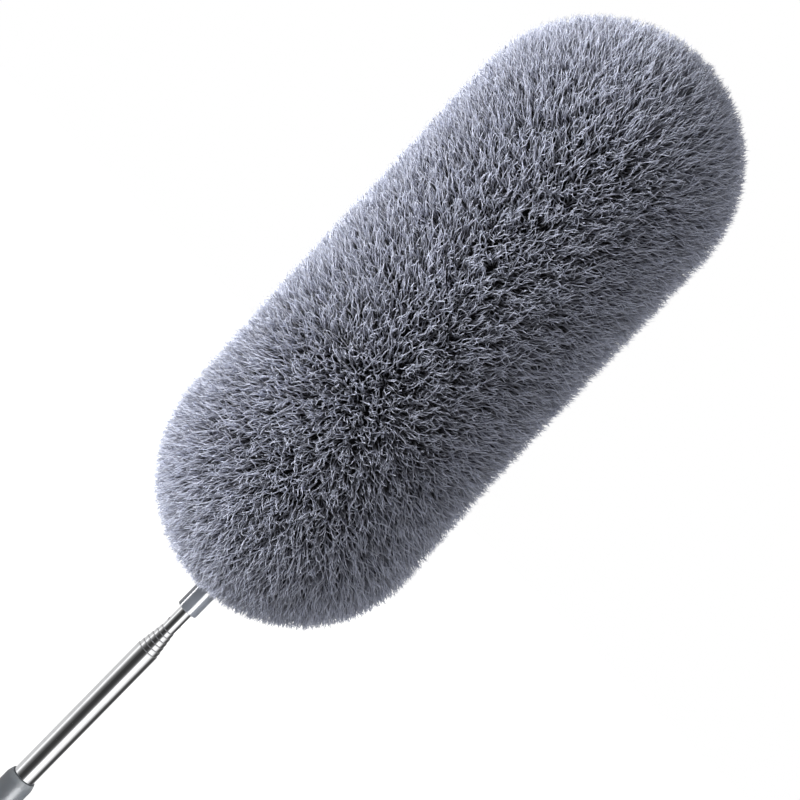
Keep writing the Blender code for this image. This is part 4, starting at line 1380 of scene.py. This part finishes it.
@dataclass
class Studio:
    """The camera, the lamps, the floor and the panels that the chrome reflects."""

    distance: float = 1.10
    lens: float = 78.6
    sensor: float = 36.0
    elevation: float = math.radians(3)
    roll: float = math.radians(45.55)
    head_centre: Vector = Vector((-0.0051, 0.0, 0.4595))
    head_pixel: Point2 = (451.9, 328.3)
    picture: int = 800

    def place_camera(self) -> None:
        """Puts the camera where the photograph was taken from."""
        sink, rise = math.sin(self.elevation), math.cos(self.elevation)
        forward = Vector((0.0, rise, -sink))
        pole, across = Vector((0.0, sink, rise)), Vector(Axis.ACROSS.value)
        right = pole * math.cos(self.roll) + across * math.sin(self.roll)
        up = pole * math.sin(self.roll) - across * math.cos(self.roll)
        pixel = self.sensor / self.lens * self.distance / self.picture
        half = self.picture / 2
        aside = (self.head_pixel[0] - half) * pixel
        above = (half - self.head_pixel[1]) * pixel
        place = self.head_centre - forward * self.distance - right * aside - up * above
        data = bpy.data.cameras.new("Camera")
        data.lens = self.lens
        data.sensor_width = self.sensor
        data.clip_start = 0.01
        data.clip_end = 100.0
        camera = link_object("Camera", data)
        axes = Matrix((right, up, -forward)).transposed().to_4x4()
        camera.matrix_world = Matrix.Translation(place) @ axes
        bpy.context.scene.camera = camera

    @staticmethod
    def lamp(
        name: str, azimuth: float, elevation: float, distance: float, size: Point2, watts: float
    ) -> bpy.types.Object:
        """An area lamp that faces the head.

        Args:
            name: The lamp's name.
            azimuth: Degrees from the camera's side towards +X.
            elevation: Degrees above the floor.
            distance: From the head's middle.
            size: Width and height.
            watts: Its power.

        Returns:
            The lamp.
        """
        turn, lift = math.radians(azimuth), math.radians(elevation)
        way = Vector((math.sin(turn) * math.cos(lift), -math.cos(turn) * math.cos(lift), math.sin(lift)))
        data = bpy.data.lights.new(name, "AREA")
        data.shape = "RECTANGLE"
        data.size, data.size_y = size
        data.energy = watts
        lamp = link_object(name, data)
        lamp.location = Vector((0.0, 0.0, 0.45)) + way * distance
        lamp.rotation_euler = way.to_track_quat("Z", "Y").to_euler()
        return lamp

    def build_lamps(self) -> None:
        """A key lamp for the fibres, lamps that only the plastics gleam in, and softer ones round about."""
        key = self.lamp("key", -79, -8, 2.6, (2.4, 1.0), 258)
        fibres = bpy.data.collections.new("fibres")
        key.light_linking.receiver_collection = fibres
        plastics, sleeve = bpy.data.collections.new("plastics"), bpy.data.collections.new("sleeve")
        side = self.lamp("side", 30, 4, 2.6, (0.5, 2.2), 40)
        side.light_linking.receiver_collection = plastics
        for name, azimuth, width, watts, lit in (
            ("glint_left", -85, 0.54, 80, sleeve), ("glint_right", 38, 1.27, 190, plastics),
        ):
            glint = self.lamp(name, azimuth, -18, 2.2, (width, 4.0), watts)
            glint.light_linking.receiver_collection = lit
            glint.light_linking.blocker_collection = fibres
            glint.visible_diffuse = False
        self.lamp("front", 12, -4, 2.8, (1.6, 1.6), 4)
        self.lamp("fill", 98, 3, 2.6, (0.8, 2.0), 18)
        self.lamp("back", 180, 10, 2.8, (1.8, 1.2), 16)
        self.lamp("top", 0, 80, 2.6, (1.6, 1.6), 1.5)

    @staticmethod
    def build_world() -> None:
        """White where it is seen or mirrored, and a plain soft level elsewhere."""
        world = bpy.data.worlds.new("World")
        world.use_nodes = True
        bpy.context.scene.world = world
        wiring = Wiring(world.node_tree)
        seen = wiring.seen_by("Is Camera Ray", "Is Glossy Ray", "Is Transmission Ray")
        strength = wiring.math("MULTIPLY_ADD", seen, 0.57, 0.43)
        background = world.node_tree.nodes["Background"]
        set_values(background, {"Color": WHITE})
        wiring.join(strength, background, "Strength")

    @staticmethod
    def build_floor() -> None:
        """A plain pale floor under the pole's end, which keeps the shadow."""
        shape = bmesh.new()
        bmesh.ops.create_grid(shape, x_segments=1, y_segments=1, size=6.0)
        mesh = mesh_from(shape, "floor")
        made, wiring, shader = new_material("pale_floor")
        set_values(shader, {"Base Color": (0.86, 0.86, 0.86, 1.0), "Roughness": 0.9})
        set_values(shader, {"Specular IOR Level": 0.0, "Emission Color": WHITE})
        seen = wiring.seen_by("Is Camera Ray", "Is Glossy Ray")
        wiring.join(wiring.math("MULTIPLY", seen, 0.68), shader, "Emission Strength")
        floor = link_object("floor", mesh, made)
        floor.location = (0.0, 0.0, -81.8 * MM)
        floor.visible_glossy = False

    @staticmethod
    def panel(
        name: str, start: float, end: float, radius: float, stops: Sequence[tuple], strength: float,
        heights: Point2 = (-2.6, 0.9),
    ) -> None:
        """An upright curved panel that only reflections see.

        Args:
            name: The panel's name.
            start: Its first edge, in degrees from the camera's side towards +X.
            end: Its last edge.
            radius: Its distance from the pole.
            stops: Its brightness across, as a ramp.
            strength: What the brightness is multiplied by.
            heights: Its lower and upper edge.
        """
        shape = bmesh.new()
        steps = 64
        layer = shape.loops.layers.uv.new("UVMap")
        columns = []
        for i in range(steps + 1):
            turn = math.radians(start + (end - start) * i / steps)
            spot = (radius * math.sin(turn), -radius * math.cos(turn))
            columns.append([shape.verts.new((*spot, z)) for z in heights])
        for i in range(steps):
            face = shape.faces.new((columns[i][0], columns[i + 1][0], columns[i + 1][1], columns[i][1]))
            for loop, (u, v) in zip(face.loops, ((i, 0), (i + 1, 0), (i + 1, 1), (i, 1))):
                loop[layer].uv = (u / steps, v)
        mesh = mesh_from(shape, name)
        made, wiring, shader = new_material(name)
        made.node_tree.nodes.remove(shader)
        across = wiring.split(wiring.add("ShaderNodeUVMap", uv_map="UVMap").outputs[0])["X"]
        glow = wiring.add("ShaderNodeEmission", {"Color": wiring.ramp(across, stops), "Strength": strength})
        wiring.join(glow.outputs[0], made.node_tree.nodes["Material Output"], "Surface")
        Studio.only_reflected(link_object(name, mesh, made))

    @staticmethod
    def only_reflected(piece: bpy.types.Object) -> None:
        """Lets a studio piece show in reflections alone."""
        piece.visible_camera = False
        piece.visible_diffuse = False
        piece.visible_shadow = False
        piece.visible_transmission = False

    @staticmethod
    def canopy(height: float, radius: float) -> None:
        """A grey disc overhead, which draws a grey line round each rolled edge."""
        shape = bmesh.new()
        bmesh.ops.create_circle(shape, cap_ends=True, segments=64, radius=radius)
        bmesh.ops.translate(shape, verts=shape.verts, vec=(0.0, 0.0, height))
        mesh = mesh_from(shape, "canopy")
        made, _, shader = new_material("canopy_grey")
        set_values(shader, {"Base Color": (0.0, 0.0, 0.0, 1.0), "Specular IOR Level": 0.0})
        set_values(shader, {"Emission Color": WHITE, "Emission Strength": 0.3})
        Studio.only_reflected(link_object("canopy", mesh, made))

    def build_panels(self) -> None:
        """The pale surround with its dark flags, two bright strips and the canopy."""
        profile = (
            (-180, 0.7), (-103, 0.7), (-95, 0.9), (-78, 1.0), (-70, 0.65), (-63, 0.33), (-52, 0.17),
            (-41, 0.1), (-31, 0.045), (-10, 0.045), (0, 0.07), (9, 0.105), (18, 0.33), (28, 1.0),
            (68, 1.0), (77, 0.8), (86, 0.3), (98, 0.08), (117, 0.05), (135, 0.09), (150, 0.5), (180, 0.7),
        )
        stops = [((degrees + 180) / 360, value) for degrees, value in profile]
        self.panel("surround", -180, 180, 2.4, stops, 1.0)
        even = [(0.0, 1.0), (1.0, 1.0)]
        self.panel("overhead", -180, 180, 2.4, even, 0.3, heights=(0.9, 2.6))
        self.panel("strip_left", -92, -78, 2.2, even, 1.25)
        self.panel("strip_right", 22, 64, 2.2, even, 1.25)
        self.canopy(2.6, 2.5)

    def build(self) -> None:
        """Builds the whole studio, the camera first."""
        self.place_camera()
        self.build_world()
        self.build_floor()
        self.build_lamps()
        self.build_panels()


def dress_leftovers(palette: Palette) -> None:
    """Gives the wire core and its bead, which keep their CAD shape, their materials."""
    finishes = {f"core_{number}": "galvanised_wire" for number in range(1, 5)} | {"tip_bead": "black_plastic"}
    for node, finish in finishes.items():
        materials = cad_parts[node].data.materials
        materials.clear()
        materials.append(palette.made[finish])


def main() -> None:
    """Builds the studio and the duster in order."""
    logging.basicConfig(level=logging.INFO, format="%(name)s: %(message)s")
    bpy.context.scene.view_settings.view_transform = "Standard"
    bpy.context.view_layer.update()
    Studio().build()
    palette = Palette()
    palette.build()
    turning = Turning()
    TelescopicPole(palette, turning).build()
    Grip(palette, turning).build()
    Connector(palette, turning).build()
    FibreHead(palette).build()
    dress_leftovers(palette)


if __name__ == "__main__":
    main()
